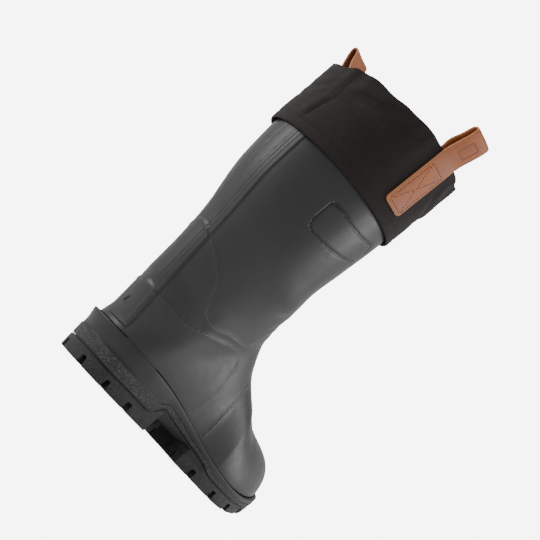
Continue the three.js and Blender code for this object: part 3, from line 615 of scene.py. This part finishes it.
def upper_relief(points, normals, rows):
    """Height of the seams, hollows and badge frame over the plain form, and values for the material."""
    height = np.zeros(len(points))
    # For each kind of line: signed distance, and how near it is
    lines = {name: np.outer((8.0, 0.0), np.ones(len(points))) for name in ("patch", "counter")}
    for side in (1, -1):
        for name, line, rise, width in SEAMS:
            signed, inside = line_field(points, normals, laid(line, side, points), SEAM_REACH)
            distance = np.abs(signed)
            height += rise * soft(distance, width) * inside
            height -= 0.12 * soft(distance - 3.4, 2.0) * inside
            here = signed, inside * step(6, 4, distance)
            lines[name] = np.where(distance < np.abs(lines[name][0]), here, lines[name])
        for line, depth, width in HOLLOWS:
            hollow = line_field(points, normals, laid(line, side, points), SEAM_REACH)[0]
            height -= depth * soft(hollow, width)
    # The counter stands a little proud behind its line
    along, up = points[:, 1], points[:, 2]
    over = up - np.interp(along, *np.transpose(COUNTER_TOP))
    height += 0.5 * step(3.2, -3.2, over) * step(118, 112, along)
    height = smoothed(height.reshape(rows, -1), 4).reshape(-1)
    # Badge panel on the inner side: a plain frame of pressed lines
    for name, line in (("badge_top", BADGE_UPPER), ("badge_low", BADGE_LOWER)):
        signed, inside = line_field(points, normals, smooth_line(line), 10)
        height -= 0.4 * soft(signed, 1.1) * inside
        lines[name] = signed, inside * step(6, 4, np.abs(signed))
    # Painted shadow lines along both edges of the backstay and where the rand meets the upper
    edge = np.abs(np.abs(points[:, 0]) - BACKSTAY_HALF - 0.3)
    behind = (along < 20) & (up < BACKSTAY_TOP + 1) & (up > BACKSTAY_LOW - 4)
    meet = 0.9 * step(1.6, 0.5, up - rand_top_at(along))
    values = {"painted_shade": np.maximum(np.where(behind, 0.85 * step(1.1, 0.3, edge), 0), meet)}
    for name, (signed, near) in lines.items():
        values |= {name: signed, name + "_near": near}
    # Faint unevenness of dipped rubber. All relief fades out below the bead under the rim
    waves = [np.sin(points @ np.array(way)) for way in ((0.031, 0.043, 0.027), (0.051, -0.037, 0.063))]
    height += 0.25 * waves[0] * waves[1]
    return height * step(SHAFT - 8, SHAFT - 12, up), values


def build_upper():
    turns = upper_turns()
    rows = upper_rows()
    points = np.vstack([grown(row, turns) for row in rows])
    normals = grid_normals(points, len(rows), len(turns))
    height, values = upper_relief(points, normals, len(rows))
    grid = (points + normals * height[:, None]).reshape(len(rows), len(turns), 3)
    # Rim, and a short way down inside the collar
    top = mix_rows(TURN_ROWS, TOP_ROW)
    rim = [
        ring_at(top, 1.6, turns), ring_at(top, -1.9, turns), ring_at(top, -2.5, turns) - [0, 0, 0.5],
        ring_at(row_at(SHAFT - 3), -WALL, turns), ring_at(row_at(SHAFT - 22), -WALL, turns),
    ]
    rings = np.concatenate([grid, rim])
    flat = rings.reshape(-1, 3)
    faces, used = above_footbed(flat, len(rings), len(turns), -1.5)
    obj = make_object("upper_rubber", flat[used], faces, RUBBER, "upper", sharp=50)
    rest = np.zeros(len(flat) - len(points))
    for name, value in values.items():
        set_attribute(obj, name, np.concatenate([value, rest])[used])
    return grid


def build_lining():
    turns = np.radians(np.linspace(0, 360, 96, endpoint=False))
    rows = [foot_row(share) for share in np.linspace(0.975, 0.606, 30)[:-1]]
    places = [*np.linspace(0, 7, 71)[:-1], *np.linspace(7, 11.9, 60)]
    rows += [mix_rows(TURN_ROWS, place) for place in places]
    points = np.vstack([ring_at(row, -WALL - 0.35, turns) for row in rows])
    normals = grid_normals(points, len(rows), len(turns))
    points = points + normals * (0.18 * np.sin(points[:, 2] * 0.9) * np.sin(points[:, 1] * 0.7))[:, None]
    faces, used = above_footbed(points, len(rows), len(turns), 1.0)
    make_object("upper_lining", points[used], faces, LINING)


def backstay_relief(x, z):
    """Height of the backstay's ribs, cross seams, low block and leaf-shaped slit, and painted shade in its
    slit and rib grooves.
    """
    above_seam = step(92, 96, z)
    height = 0.3 * step(12.6, 11.4, np.abs(x)) * above_seam
    height += 0.2 * soft(np.abs(x) - 12.9, 0.7) * above_seam
    height -= 0.4 * soft(np.abs(x) - 10.6, 0.6) * above_seam
    height += 0.28 * soft(np.abs(x + 1) - 7.3, 1.0) * step(150, 165, z)
    seam = z - (157 - 0.024 * x**2)
    height += 0.75 * soft(seam, 1.4) - 0.3 * soft(seam - 3.2, 1.2)
    height += 0.35 * step(1, -1, seam) * step(96, 100, z)
    low = z - (88.5 - 0.008 * x**2)
    height += 0.9 * soft(low, 1.5) - 0.35 * soft(low - 3.4, 1.4) + 0.5 * step(1, -1, low)
    height += 0.4 * soft(np.abs(x - 2) - 13, 1.1) * step(88, 84, z) * step(50, 56, z)
    slant = (x + 2) * 0.5 + (z - 66) * 0.866, (x + 2) * 0.866 - (z - 66) * 0.5
    leaf = np.sqrt((slant[0] / 4.6) ** 2 + (slant[1] / 1.5) ** 2)
    # Painted shade inside the sunk slit and along the rib grooves
    painted_shade = np.maximum(step(1.2, 0.9, leaf), 0.55 * soft(np.abs(x) - 10.7, 0.45) * above_seam)
    return height - step(1.25, 0.6, leaf), painted_shade


def build_backstay():
    half, low, top = BACKSTAY_HALF, BACKSTAY_LOW, BACKSTAY_TOP
    columns = [-half, *np.linspace(0.2 - half, half - 0.2, 62), half]
    heights = [low, *np.linspace(low + 0.3, top - 0.3, 300), top]
    rows = [mix_rows(TURN_ROWS, place) for place in np.linspace(3, TOP_ROW, 260)]
    turns = np.radians(np.linspace(-75, 75, 241))

    def sheet(grow):
        """Place along of the upper's back face, grown outward, at each column and height."""
        rings = [ring_at(row, grow, turns) for row in rows]
        across = np.array([[np.interp(columns, ring[:, 0], ring[:, k]) for k in (1, 2)] for ring in rings])
        lines = [np.interp(heights, across[:, 1, c], across[:, 0, c]) for c in range(len(columns))]
        return smoothed(np.array(lines).T)

    outer, inner = sheet(GAP + BACKSTAY_RAISE) + 0.55, sheet(-0.5)
    x, z = np.meshgrid(columns, heights)
    height, painted_shade = backstay_relief(x, z)
    round_x = step(half, half - 0.9, np.abs(x))
    round_z = np.minimum(step(top, top - 1.3, z), step(low, low + 1.3, z))
    rise = np.minimum(np.sqrt(round_x * round_z), 1)
    y = inner + (outer - inner) * (0.15 + 0.85 * rise) - height * rise
    y[0], y[-1], y[:, 0], y[:, -1] = inner[0], inner[-1], inner[:, 0], inner[:, -1]
    points = np.stack([x, y, z], 2).reshape(-1, 3)
    faces = grid_faces(len(heights), len(columns), False)
    obj = make_object("backstay_rubber", points, faces, RUBBER, "backstay", sharp=60)
    set_attribute(obj, "painted_shade", painted_shade.reshape(-1))


# Rand and midsole: share of its height, inset, share of the rim, ledge
RAND_LEVELS = [
    (0, 1, 0.3, 0), (0.015, 0.45, 0.3, 0), (0.04, 0.1, 0.3, 0), (0.07, 0, 0.32, 0), (0.2, -0.1, 0.48, 0),
    (0.36, -0.28, 0.66, 0), (0.4, -0.25, 0.7, 0), (0.415, 0.1, 0.72, 0), (0.43, 0.45, 0.75, 0),
    (0.46, 0.5, 0.8, 0), (0.53, 0.45, 0.86, 0.25), (0.6, 0.4, 0.92, 0.8), (0.68, 0.3, 0.98, 1.7),
    (0.76, 0.2, 1, 2.9), (0.84, 0.2, 1, 4.2), (0.91, 0.2, 1, 5.2), (0.965, 0.25, 1, 5.5),
    (0.98, 0.4, 1, 5.4), (0.99, 0.7, 1, 5.1), (1, 1.2, 1, 4.6),
]
# Its lip at the upper: drop under the rand's top, space to the upper
LIP_LEVELS = [(0, 0.6), (-0.7, 0.45), (-0.75, 0.15), (5, 0.3)]


def build_rand(upper_grid):
    rows, columns = upper_grid.shape[:2]
    tree = BVHTree.FromPolygons([tuple(p) for p in upper_grid.reshape(-1, 3)], grid_faces(rows, columns))
    rings, grain, painted_shade = [], [], []
    for share, inset, rim, ledge in RAND_LEVELS:
        ring, _ = outline_ring(inset, rim, ledge)
        low, high = split_at(ring[:, 1]) + GAP, rand_top_at(ring[:, 1])
        rings.append(np.column_stack([ring, low + (high - low) * share]))
        grain.append(step(0.02, 0.07, share) * step(0.42, 0.38, share))
        # Painted shade in the groove round the rand
        painted_shade.append(0.7 * (0.41 < share < 0.465))
    outline, normal = outline_ring(1.3, 1, 4.3)
    count = len(outline)
    for drop, gap in LIP_LEVELS:
        spots = []
        for (x, y), (nx, ny) in zip(outline, normal):
            top = float(rand_top_at(y)[0]) - drop
            # The ray starts a little outside, so that it can't start within the upper
            hit = tree.ray_cast((x + nx * 3, y + ny * 3, top), (-nx, -ny, 0), 30)
            reach = max((4.5 if hit[0] is None else hit[3] - 3) - gap, 0.6)
            spots.append((x - nx * reach, y - ny * reach, top))
        rings.append(spots)
        grain.append(0)
        # Painted shadow of the joint on the lip against the upper
        painted_shade.append(1)
    faces = grid_faces(len(rings), count)
    faces.append(tuple(reversed(range(count))))
    obj = make_object("rand_rubber", np.vstack(rings), faces, RAND, "midsole_rand", sharp=60)
    top = len(RAND_LEVELS)
    # Painted shadow: the lip's faces take the near black joint_shadow material
    darken(obj, range(top * count, (top + 3) * count))
    set_attribute(obj, "grain", np.repeat(grain, count))
    set_attribute(obj, "painted_shade", np.repeat(painted_shade, count))


# Pieces that keep the shape of their solid, with edges sharper than this angle softened
SOFT_EDGE = 32
DOME_RINGS, DOME_SIDES = 9, 28
RING_PLACE, RING_RADIUS, RING_SIDES = (-6, 133.5), 6.8, 48
BURST_PLACE, BURST_RADII, BURST_BARS = (-33, 131), (2, 3.2, 4.4), 9


def copy_of(node, name, material, width, segments=2, extra=()):
    bm = bmesh.new()
    bm.from_mesh(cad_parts[node].data)
    bmesh.ops.remove_doubles(bm, verts=bm.verts, dist=1e-6)
    bmesh.ops.dissolve_limit(bm, angle_limit=math.radians(1.5), verts=bm.verts, edges=bm.edges)
    for points, faces in extra:
        spots = [bm.verts.new(p) for p in points]
        for face in faces:
            bm.faces.new([spots[v] for v in face])
    obj = finish_piece(bm, bpy.data.meshes.new(name), material, node, SOFT_EDGE)
    bevel = obj.modifiers.new("soft_edges", "BEVEL")
    bevel.width = width * 0.001
    bevel.segments = segments
    bevel.limit_method = "ANGLE"
    bevel.angle_limit = math.radians(SOFT_EDGE)


def stud_domes(studs):
    """Round domes over the plain studs of the solids."""
    turn = np.repeat(np.arange(DOME_RINGS) * math.pi / 2 / DOME_RINGS, DOME_SIDES)
    spin = np.tile(np.arange(DOME_SIDES) * math.tau / DOME_SIDES, DOME_RINGS)
    radius = (STUD_RADIUS + 0.1) * np.cos(turn) ** 0.75
    faces = [tuple(reversed(face)) for face in grid_faces(DOME_RINGS, DOME_SIDES)]
    faces.append(tuple(range((DOME_RINGS - 1) * DOME_SIDES, DOME_RINGS * DOME_SIDES)))
    domes = []
    for along, side in studs:
        station = along * LENGTH
        base = 0.82 * TOE_SPRING * spring(station) + INSERT_FACE
        x, y = side * BALL + radius * np.cos(spin), station - HEEL_REST + radius * np.sin(spin)
        domes.append((0.001 * np.stack([x, y, base - STUD_DROP * np.sin(turn)], 1), faces))
    return domes


def stamps():
    """A plain ring and a burst of short bars, raised a little from the underside of the waist."""
    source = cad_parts["outsole"]
    world = source.matrix_world
    tree = BVHTree.FromPolygons([world @ v.co for v in source.data.vertices],
                                [tuple(face.vertices) for face in source.data.polygons])

    def bar(line, half, closed=False):
        line = np.array(line, float)
        way = np.roll(line, -1, 0) - np.roll(line, 1, 0) if closed else np.gradient(line, axis=0)
        side = np.stack([way[:, 1], -way[:, 0]], 1) / np.linalg.norm(way, axis=1, keepdims=True) * half
        points = []
        for spot, off in zip(line, side):
            for share, deep in ((1, 0.3), (0.6, -0.5), (-0.6, -0.5), (-1, 0.3)):
                x, y = 0.001 * (spot + share * off - (0, HEEL_REST))
                hit = tree.ray_cast((x, y, -0.01), (0, 0, 1))[0]
                points.append((x, y, hit.z + 0.001 * deep))
        faces = grid_faces(len(line), 4, looped=closed)
        if not closed:
            faces += [(3, 2, 1, 0), tuple(range(len(points) - 4, len(points)))]
        return points, faces

    rays = zip(*(circle(BURST_PLACE, radius, BURST_BARS) for radius in BURST_RADII))
    return [bar(circle(RING_PLACE, RING_RADIUS, RING_SIDES), 0.6, True)] + [bar(line, 0.45) for line in rays]


# Cuff: outside, top edge, inside and hem of one fabric sleeve
STRAP_TURNS = np.radians((92, 280))
CLOTH_ROUND, CLOTH_RING = 0.435, 0.00105
# Creases given one by one: turn in degrees, share up, length and slope, depth
CREASES = [
    (-32, 0.5, 0.4, 1.2, 1.2), (25, 0.72, 0.35, 0.9, 1.2), (38, 0.5, 0.5, -0.8, 0.9),
    (60, 0.78, 0.3, 0.7, 0.9), (128, 0.55, 0.5, -1.2, 1.2), (165, 0.6, 0.5, 1.0, 1.4),
    (205, 0.5, 0.5, -0.9, 1.2), (240, 0.65, 0.35, 1.3, 1.1), (318, 0.58, 0.4, 1.2, 1.3),
]
# Line of a standing fold with a seam, behind: share up, turn in degrees
FOLD_LINE = [(0, 2), (0.3, 4), (0.55, 7.5), (0.75, 6), (1, 6.5)]


def turned_from(turns, place):
    """Turn from a place round the shaft, between half a turn back and half a turn on."""
    return (turns - place + math.pi) % math.tau - math.pi


def flare_at(share):
    return CUFF_FLARE * float(step(0.3, 1, share))


def cuff_shape(turns, share):
    """Fold and sag of the cuff, outward and up, calm where the straps lie, and painted shade along its
    fold's seam.
    """
    calm = np.ones(len(turns))
    for place in STRAP_TURNS:
        calm *= step(0.24, 0.42, np.abs(turned_from(turns, place)))
    high = step(0.15, 0.9, share)
    out = 0.9 * np.sin(3 * turns + 0.8 + 1.3 * share) * high
    out += 0.6 * np.sin(5 * turns - 1.1 - 3.5 * share) * high
    out += 0.5 * np.sin(9 * turns + 5.5 * share) * step(0.3, 0.8, share) * step(1.05, 0.8, share)
    near, behind = (turned_from(turns, math.radians(place)) for place in (62, -12))
    out += (2.6 * soft(near, 0.4) - 2.4 * soft(behind, 0.6)) * high
    for place, up, long, slope, deep in CREASES:
        off = turned_from(turns, math.radians(place))
        across = (share - up) - off * slope * 0.35
        out -= deep * soft(off, long) * (1.25 * soft(across, 0.055) - 0.7 * soft(across - 0.11, 0.07))
    fold = turned_from(turns, math.radians(np.interp(share, *np.transpose(FOLD_LINE))))
    tuck = step(0.08, 0.3, share)
    out -= (1.9 * soft(fold, 0.026) - 0.8 * soft(fold + 0.09, 0.06)) * tuck
    out += (0.35 * np.sin(19 * turns + 2.2) + 0.3 * np.sin(26 * turns)) * step(0.55, 0.95, share)
    rise = 1.2 * np.sin(5 * turns + 0.4) + 0.7 * np.sin(8 * turns) + 0.45 * np.sin(17 * turns + 1)
    rise = (rise - 7.5 * soft(behind, 0.75)) * high
    return out * calm, rise * calm, soft(fold, 0.02) * tuck


def build_cuff():
    turns = np.radians(np.linspace(0, 360, 300, endpoint=False))
    count = len(turns)
    rings, painted_shades = [], []

    def add(height, grow, folded=1.0, lift=0.0):
        share = (height - CUFF_BASE) / CUFF_HEIGHT
        out, rise, fold = cuff_shape(turns, share)
        ring = ring_at(row_at(height), grow + flare_at(share) + np.maximum(out * folded, -1.2), turns)
        ring[:, 2] += rise + lift
        rings.append(ring)
        # Painted shade in the fold's crease
        painted_shades.append(fold * folded)

    full = CUFF_CLEARANCE + CUFF_THICKNESS
    for up in [0, 0.35, 0.8, *np.linspace(1.4, CUFF_HEIGHT - 0.8, 74), CUFF_HEIGHT - 0.3]:
        hem = 0.45 * math.exp(-(((up - 9) / 1.1) ** 2))
        add(CUFF_BASE + up, CUFF_CLEARANCE + 1.2 + 1.2 * float(step(0, 1.0, up)) - hem)
    for drop, back in ((0.3, 0.5), (0.05, 1.2), (0.3, 1.9), (0.9, CUFF_THICKNESS - 0.1)):
        add(CUFF_TOP - drop, full - back)
    for height in np.linspace(CUFF_TOP - 2, CUFF_BASE + 1, 52):
        add(height, CUFF_CLEARANCE, float(step(300, 318, height)))
    add(CUFF_BASE + 0.2, CUFF_CLEARANCE + 0.4, 0)
    faces = grid_faces(len(rings), count, looped=True)
    obj = make_object("cuff_fabric", np.vstack(rings), faces, FABRIC, "cuff", sharp=70)
    set_attribute(obj, "painted_shade", np.concatenate(painted_shades))
    layer = obj.data.uv_layers.new(name="cloth")
    index = np.empty(len(obj.data.loops), np.int32)
    obj.data.loops.foreach_get("vertex_index", index)
    around, up = (index % count) / count * CLOTH_ROUND, (index // count) * CLOTH_RING
    layer.data.foreach_set("uv", np.stack([around, up], 1).astype(np.float32).reshape(-1))


# Leather straps: up the outside of the cuff, over in an arch and down its inside
STRAP_SPREAD, CORNER = 0.6, 5
# Arch of the loop: out from the cuff's outside, up from its edge
LOOP_ARCH = [
    (0, 0), (2, 7), (5.4, 16), (8.2, 24), (9.5, 29.5), (9.2, 31.6), (7.6, LOOP_RISE), (6.1, 31), (5, 28.5),
    (1.8, 20),
]
FRAME_PLACE, PATCH_PLACE = 82, 27
STITCH_LOW, STITCH_HIGH, STITCH_HALF, STITCH_PITCH = 3.5, 50.5, 11.2, 2.6
# One stitch: place along it, half width
STITCH_RINGS = [(-0.5, 0.18), (-0.35, 0.4), (0, 0.46), (0.35, 0.4), (0.5, 0.18)]
STITCH_SIDES = 8


def strap_path():
    """Rows of share up the cuff, distance from the upper, lift, and the way out of the leather."""
    outside, inside = CUFF_CLEARANCE + CUFF_THICKNESS + GAP, CUFF_CLEARANCE - GAP
    arch = [(outside + out, up) for out, up in LOOP_ARCH] + [(inside + 0.4, 11), (inside, 0)]
    bend = smooth_line(arch, 1.0)
    path = [(share, outside, 0, 1, 0) for share in np.linspace(0.2, 1, 64)]
    path += [(1, *spot, up, -ahead) for spot, (ahead, up) in zip(bend, np.gradient(bend, axis=0))]
    path += [(share, inside, 0, -1, 0) for share in np.linspace(1, 0.6, 34)]
    path = np.array(path)
    dense = [path[0]]
    for here, after in zip(path, path[1:]):
        steps = 1 + int(abs(after[2] - here[2]) // 1.2 + abs(after[1] - here[1]) // 1.2)
        dense += [here + (after - here) * (s / steps) for s in range(1, steps + 1)]
    return dense


def strap_faces(turn):
    """Places across the strap, and its face against the boot and its face away from it."""
    turns = np.linspace(turn - STRAP_SPREAD, turn + STRAP_SPREAD, 81)
    across = np.array([-1, -0.985, -0.95, *np.linspace(-0.9, 0.9, 37), 0.95, 0.985, 1]) * STRAP_HALF
    path = strap_path()
    sides = []
    for thickness in (0.0, STRAP_THICKNESS):
        sheet = []
        for number, (share, grow, lift, out, up) in enumerate(path):
            # Rounded corners at both ends
            room = max(CORNER - min(number, len(path) - 1 - number), 0)
            narrow = 1 - (CORNER - math.sqrt(CORNER**2 - room**2)) / STRAP_HALF
            row = row_at(CUFF_BASE + share * CUFF_HEIGHT)
            size = math.hypot(out, up)
            ring = ring_at(row, grow + flare_at(share) + out / size * thickness, turns)
            walk = walk_along(ring)
            spots = np.interp(turn, turns, walk) + narrow * across
            spot = np.stack([np.interp(spots, walk, ring[:, k]) for k in range(3)], 1)
            sheet.append(spot + [0, 0, lift + up / size * thickness])
        sides.append(np.array(sheet))
    return across, *sides


def build_strap(name, node, turn):
    across, bottom, top = strap_faces(turn)
    outward = top - bottom
    outward /= np.linalg.norm(outward, axis=2, keepdims=True)
    path = walk_along(bottom[:, len(across) // 2])
    u, v = path[:, None], across[None, :]
    edge = np.abs(v) / STRAP_HALF + 0 * u
    ends = np.minimum(u, path[-1] - u)
    trim = 0.85 * np.maximum(step(0.93, 1.0, edge), step(1.2, 0, ends))
    # A plain pressed frame on the standing loop, and a stitched box with a cross on the patch
    mark = np.maximum(np.abs(u - FRAME_PLACE) - 7.5, np.abs(v) - 6.0)
    press = 0.28 * soft(mark, 0.7) + 0.12 * step(0.4, -0.4, mark)
    stitch = 0.25 * soft(np.maximum(np.abs(u - PATCH_PLACE) - 23.5, np.abs(v) - STITCH_HALF), 0.9)
    face = top - outward * (trim + press + stitch)[:, :, None]
    back = bottom + outward * (trim * 0.8)[:, :, None]
    count = len(across) * 2
    rings = np.concatenate([face, back[:, ::-1]], 1)
    faces = grid_faces(len(rings), count)
    faces += [tuple(range(count)), tuple(reversed(range((len(rings) - 1) * count, len(rings) * count)))]
    obj = make_object(name, rings.reshape(-1, 3), faces, LEATHER, node, sharp=65)
    raw = np.maximum(step(0.9, 1.0, edge), step(1.2, 0.2, ends))
    set_attribute(obj, "edge", np.concatenate([raw, raw[:, ::-1]], 1).reshape(-1))
    # Painted shade in the pressed frame
    pressed_frame_shade = 0.7 * soft(mark, 0.8)
    set_attribute(obj, "painted_shade", np.concatenate([pressed_frame_shade, 0 * pressed_frame_shade], 1).reshape(-1))
    build_stitches(name + "_stitches", path, across, face, outward)


def build_stitches(name, path, across, face, outward):
    """Box and cross of stitches on the patch."""
    low, high, half = STITCH_LOW, STITCH_HIGH, STITCH_HALF
    corners = [(low, -half), (high, -half), (high, half), (low, half)]
    runs = [(corners[i], corners[(i + 1) % 4]) for i in range(4)]
    runs += [((6, -9.5), (48, 9.5)), ((6, 9.5), (48, -9.5))]
    lumps, faces = [], []
    for start, end in np.array(runs, float):
        size = np.linalg.norm(end - start)
        number = int(size / STITCH_PITCH)
        for k in range(number):
            middle = start + (end - start) * (k + 0.5) / number
            row = int(np.argmin(np.abs(path - middle[0])))
            here, out = (np.array([np.interp(middle[1], across, side[row, :, j]) for j in range(3)])
                         for side in (face, outward))
            wide = face[row, -3] - face[row, 2]
            wide /= np.linalg.norm(wide)
            long = np.cross(wide, out)
            long = long if long[2] > 0 else -long
            run = (long * (end - start)[0] + wide * (end - start)[1]) / size
            cross = np.cross(run, out)
            first = len(lumps)
            for ahead, girth in STITCH_RINGS:
                for spin in np.linspace(0, math.tau, STITCH_SIDES, endpoint=False):
                    lumps.append(here + run * ahead + cross * girth * math.cos(spin)
                                 + out * (0.12 + girth * 0.7 * math.sin(spin)))
            faces += [tuple(first + v for v in f) for f in grid_faces(len(STITCH_RINGS), STITCH_SIDES)]
            faces += [tuple(range(v, v + STITCH_SIDES)) for v in (first, len(lumps) - STITCH_SIDES)]
    make_object(name, lumps, faces, THREAD)


upper_grid = build_upper()
build_lining()
build_backstay()
build_rand(upper_grid)
build_cuff()
build_strap("pull_loop_inner_leather", "pull_loop_inner", STRAP_TURNS[0])
build_strap("pull_loop_outer_leather", "pull_loop_outer", STRAP_TURNS[1])
copy_of("outsole", "outsole_rubber", TREAD, 0.7, 3, stamps())
for insert, studs in (("heel_insert", HEEL_STUDS), ("forefoot_insert", FORE_STUDS)):
    copy_of(insert, insert + "_rubber", INSERT, 0.4, extra=stud_domes(studs))
copy_of("insole", "insole_felt", FELT, 0.8, 3)

# Studio, in metres: glow of what the camera sees of the backdrop and floor
BACKDROP, FLOOR_GLOW, FLOOR_LIGHT = 7.0, 6.1, 0.4
FLOOR_RADIUS, FLOOR_SIDES, FLOOR_DROP = 2, 64, 0.0002
FLOOR_FADE = (0.35, 1.1)
# Height of a light ray, and strength at it: pale near the horizon, dimmer overhead
SKY_HEIGHTS, SKY_STRENGTHS = (0.3, 0.75), (1.05, 0.2)
WHITE = (1, 1, 1, 1)
# Name, place, aim, size and power of each soft light
LIGHTS = [
    ("overhead", (0.1, 0.2, 2.2), (0, 0.1, 0), (2.0, 2.0), 40),
    ("rim", (-0.9, -1.2, 0.9), (0, 0.1, 0.2), (0.5, 1.2), 27),
    ("side", (1.0, 1.4, 0.7), (0, 0.1, 0.15), (0.7, 1.0), 17),
]
# Camera: the photograph's bearing, lens and roll, as low as the floor lets it
BEARING, ROLL, REACH, EYE_HEIGHT, LENS = 45.6, 47.0, 1.2, 0.025, 90.6
AIM = Vector((0.004, 0.075, 0.178))


def build_floor():
    """A disc that fades out towards its rim."""
    points = [(*spot, -FLOOR_DROP) for spot in circle((0, 0), FLOOR_RADIUS, FLOOR_SIDES)]
    mesh = bpy.data.meshes.new("studio_floor")
    mesh.from_pydata(points, [], [tuple(range(FLOOR_SIDES))])
    add_object("studio_floor", mesh)
    material = plain_material("studio_floor", (0.9, 0.9, 0.9), 0.85)
    n = Nodes(material)
    n.shader.inputs["Emission Color"].default_value = WHITE
    n.feed("Emission Strength", n.span(n.camera_ray(), 0, 1, FLOOR_LIGHT, FLOOR_GLOW))
    clear = n.add("ShaderNodeBsdfTransparent").outputs[0]
    length = n.add("ShaderNodeVectorMath", {0: n.place}, operation="LENGTH").outputs["Value"]
    links = {0: n.span(length, *FLOOR_FADE), 1: n.shader.outputs[0], 2: clear}
    joined = n.add("ShaderNodeMixShader", links).outputs[0]
    n.tree.links.new(joined, n.tree.nodes["Material Output"].inputs["Surface"])
    mesh.materials.append(material)


def build_sky():
    """Soft light from all round, with a brighter backdrop for the camera."""
    world = bpy.data.worlds.new("studio")
    bpy.context.scene.world = world
    world.use_nodes = True
    n = Nodes(world, "Background")
    height = n.add("ShaderNodeSeparateXYZ", {0: n.place.node.outputs["Generated"]}).outputs["Z"]
    light = n.span(height, *SKY_HEIGHTS, *SKY_STRENGTHS)
    n.feed("Strength", n.span(n.camera_ray(), 0, 1, light, BACKDROP))
    n.shader.inputs["Color"].default_value = WHITE


def softbox(name, place, aim, size, power):
    data = bpy.data.lights.new(name, "AREA")
    data.shape = "RECTANGLE"
    data.size, data.size_y = size
    data.energy = power
    lamp = add_object(name, data)
    lamp.location = place
    lamp.rotation_euler = (Vector(aim) - Vector(place)).to_track_quat("-Z", "Y").to_euler()


def place_camera():
    bearing, roll = math.radians(BEARING), math.radians(ROLL)
    eye = AIM + Vector((math.sin(bearing), -math.cos(bearing), 0)) * REACH
    eye.z = EYE_HEIGHT
    forward = (AIM - eye).normalized()
    right = forward.cross(Vector((0, 0, 1))).normalized()
    above = right.cross(forward)
    up_axis = above * math.cos(roll) - right * math.sin(roll)
    right_axis = above * math.sin(roll) + right * math.cos(roll)
    data = bpy.data.cameras.new("camera")
    data.lens = LENS
    data.clip_start = 0.01
    camera = add_object("camera", data)
    rotation = Matrix((right_axis, up_axis, -forward)).transposed().to_4x4()
    camera.matrix_world = Matrix.Translation(eye) @ rotation
    bpy.context.scene.camera = camera


build_floor()
build_sky()
for light in LIGHTS:
    softbox(*light)
place_camera()
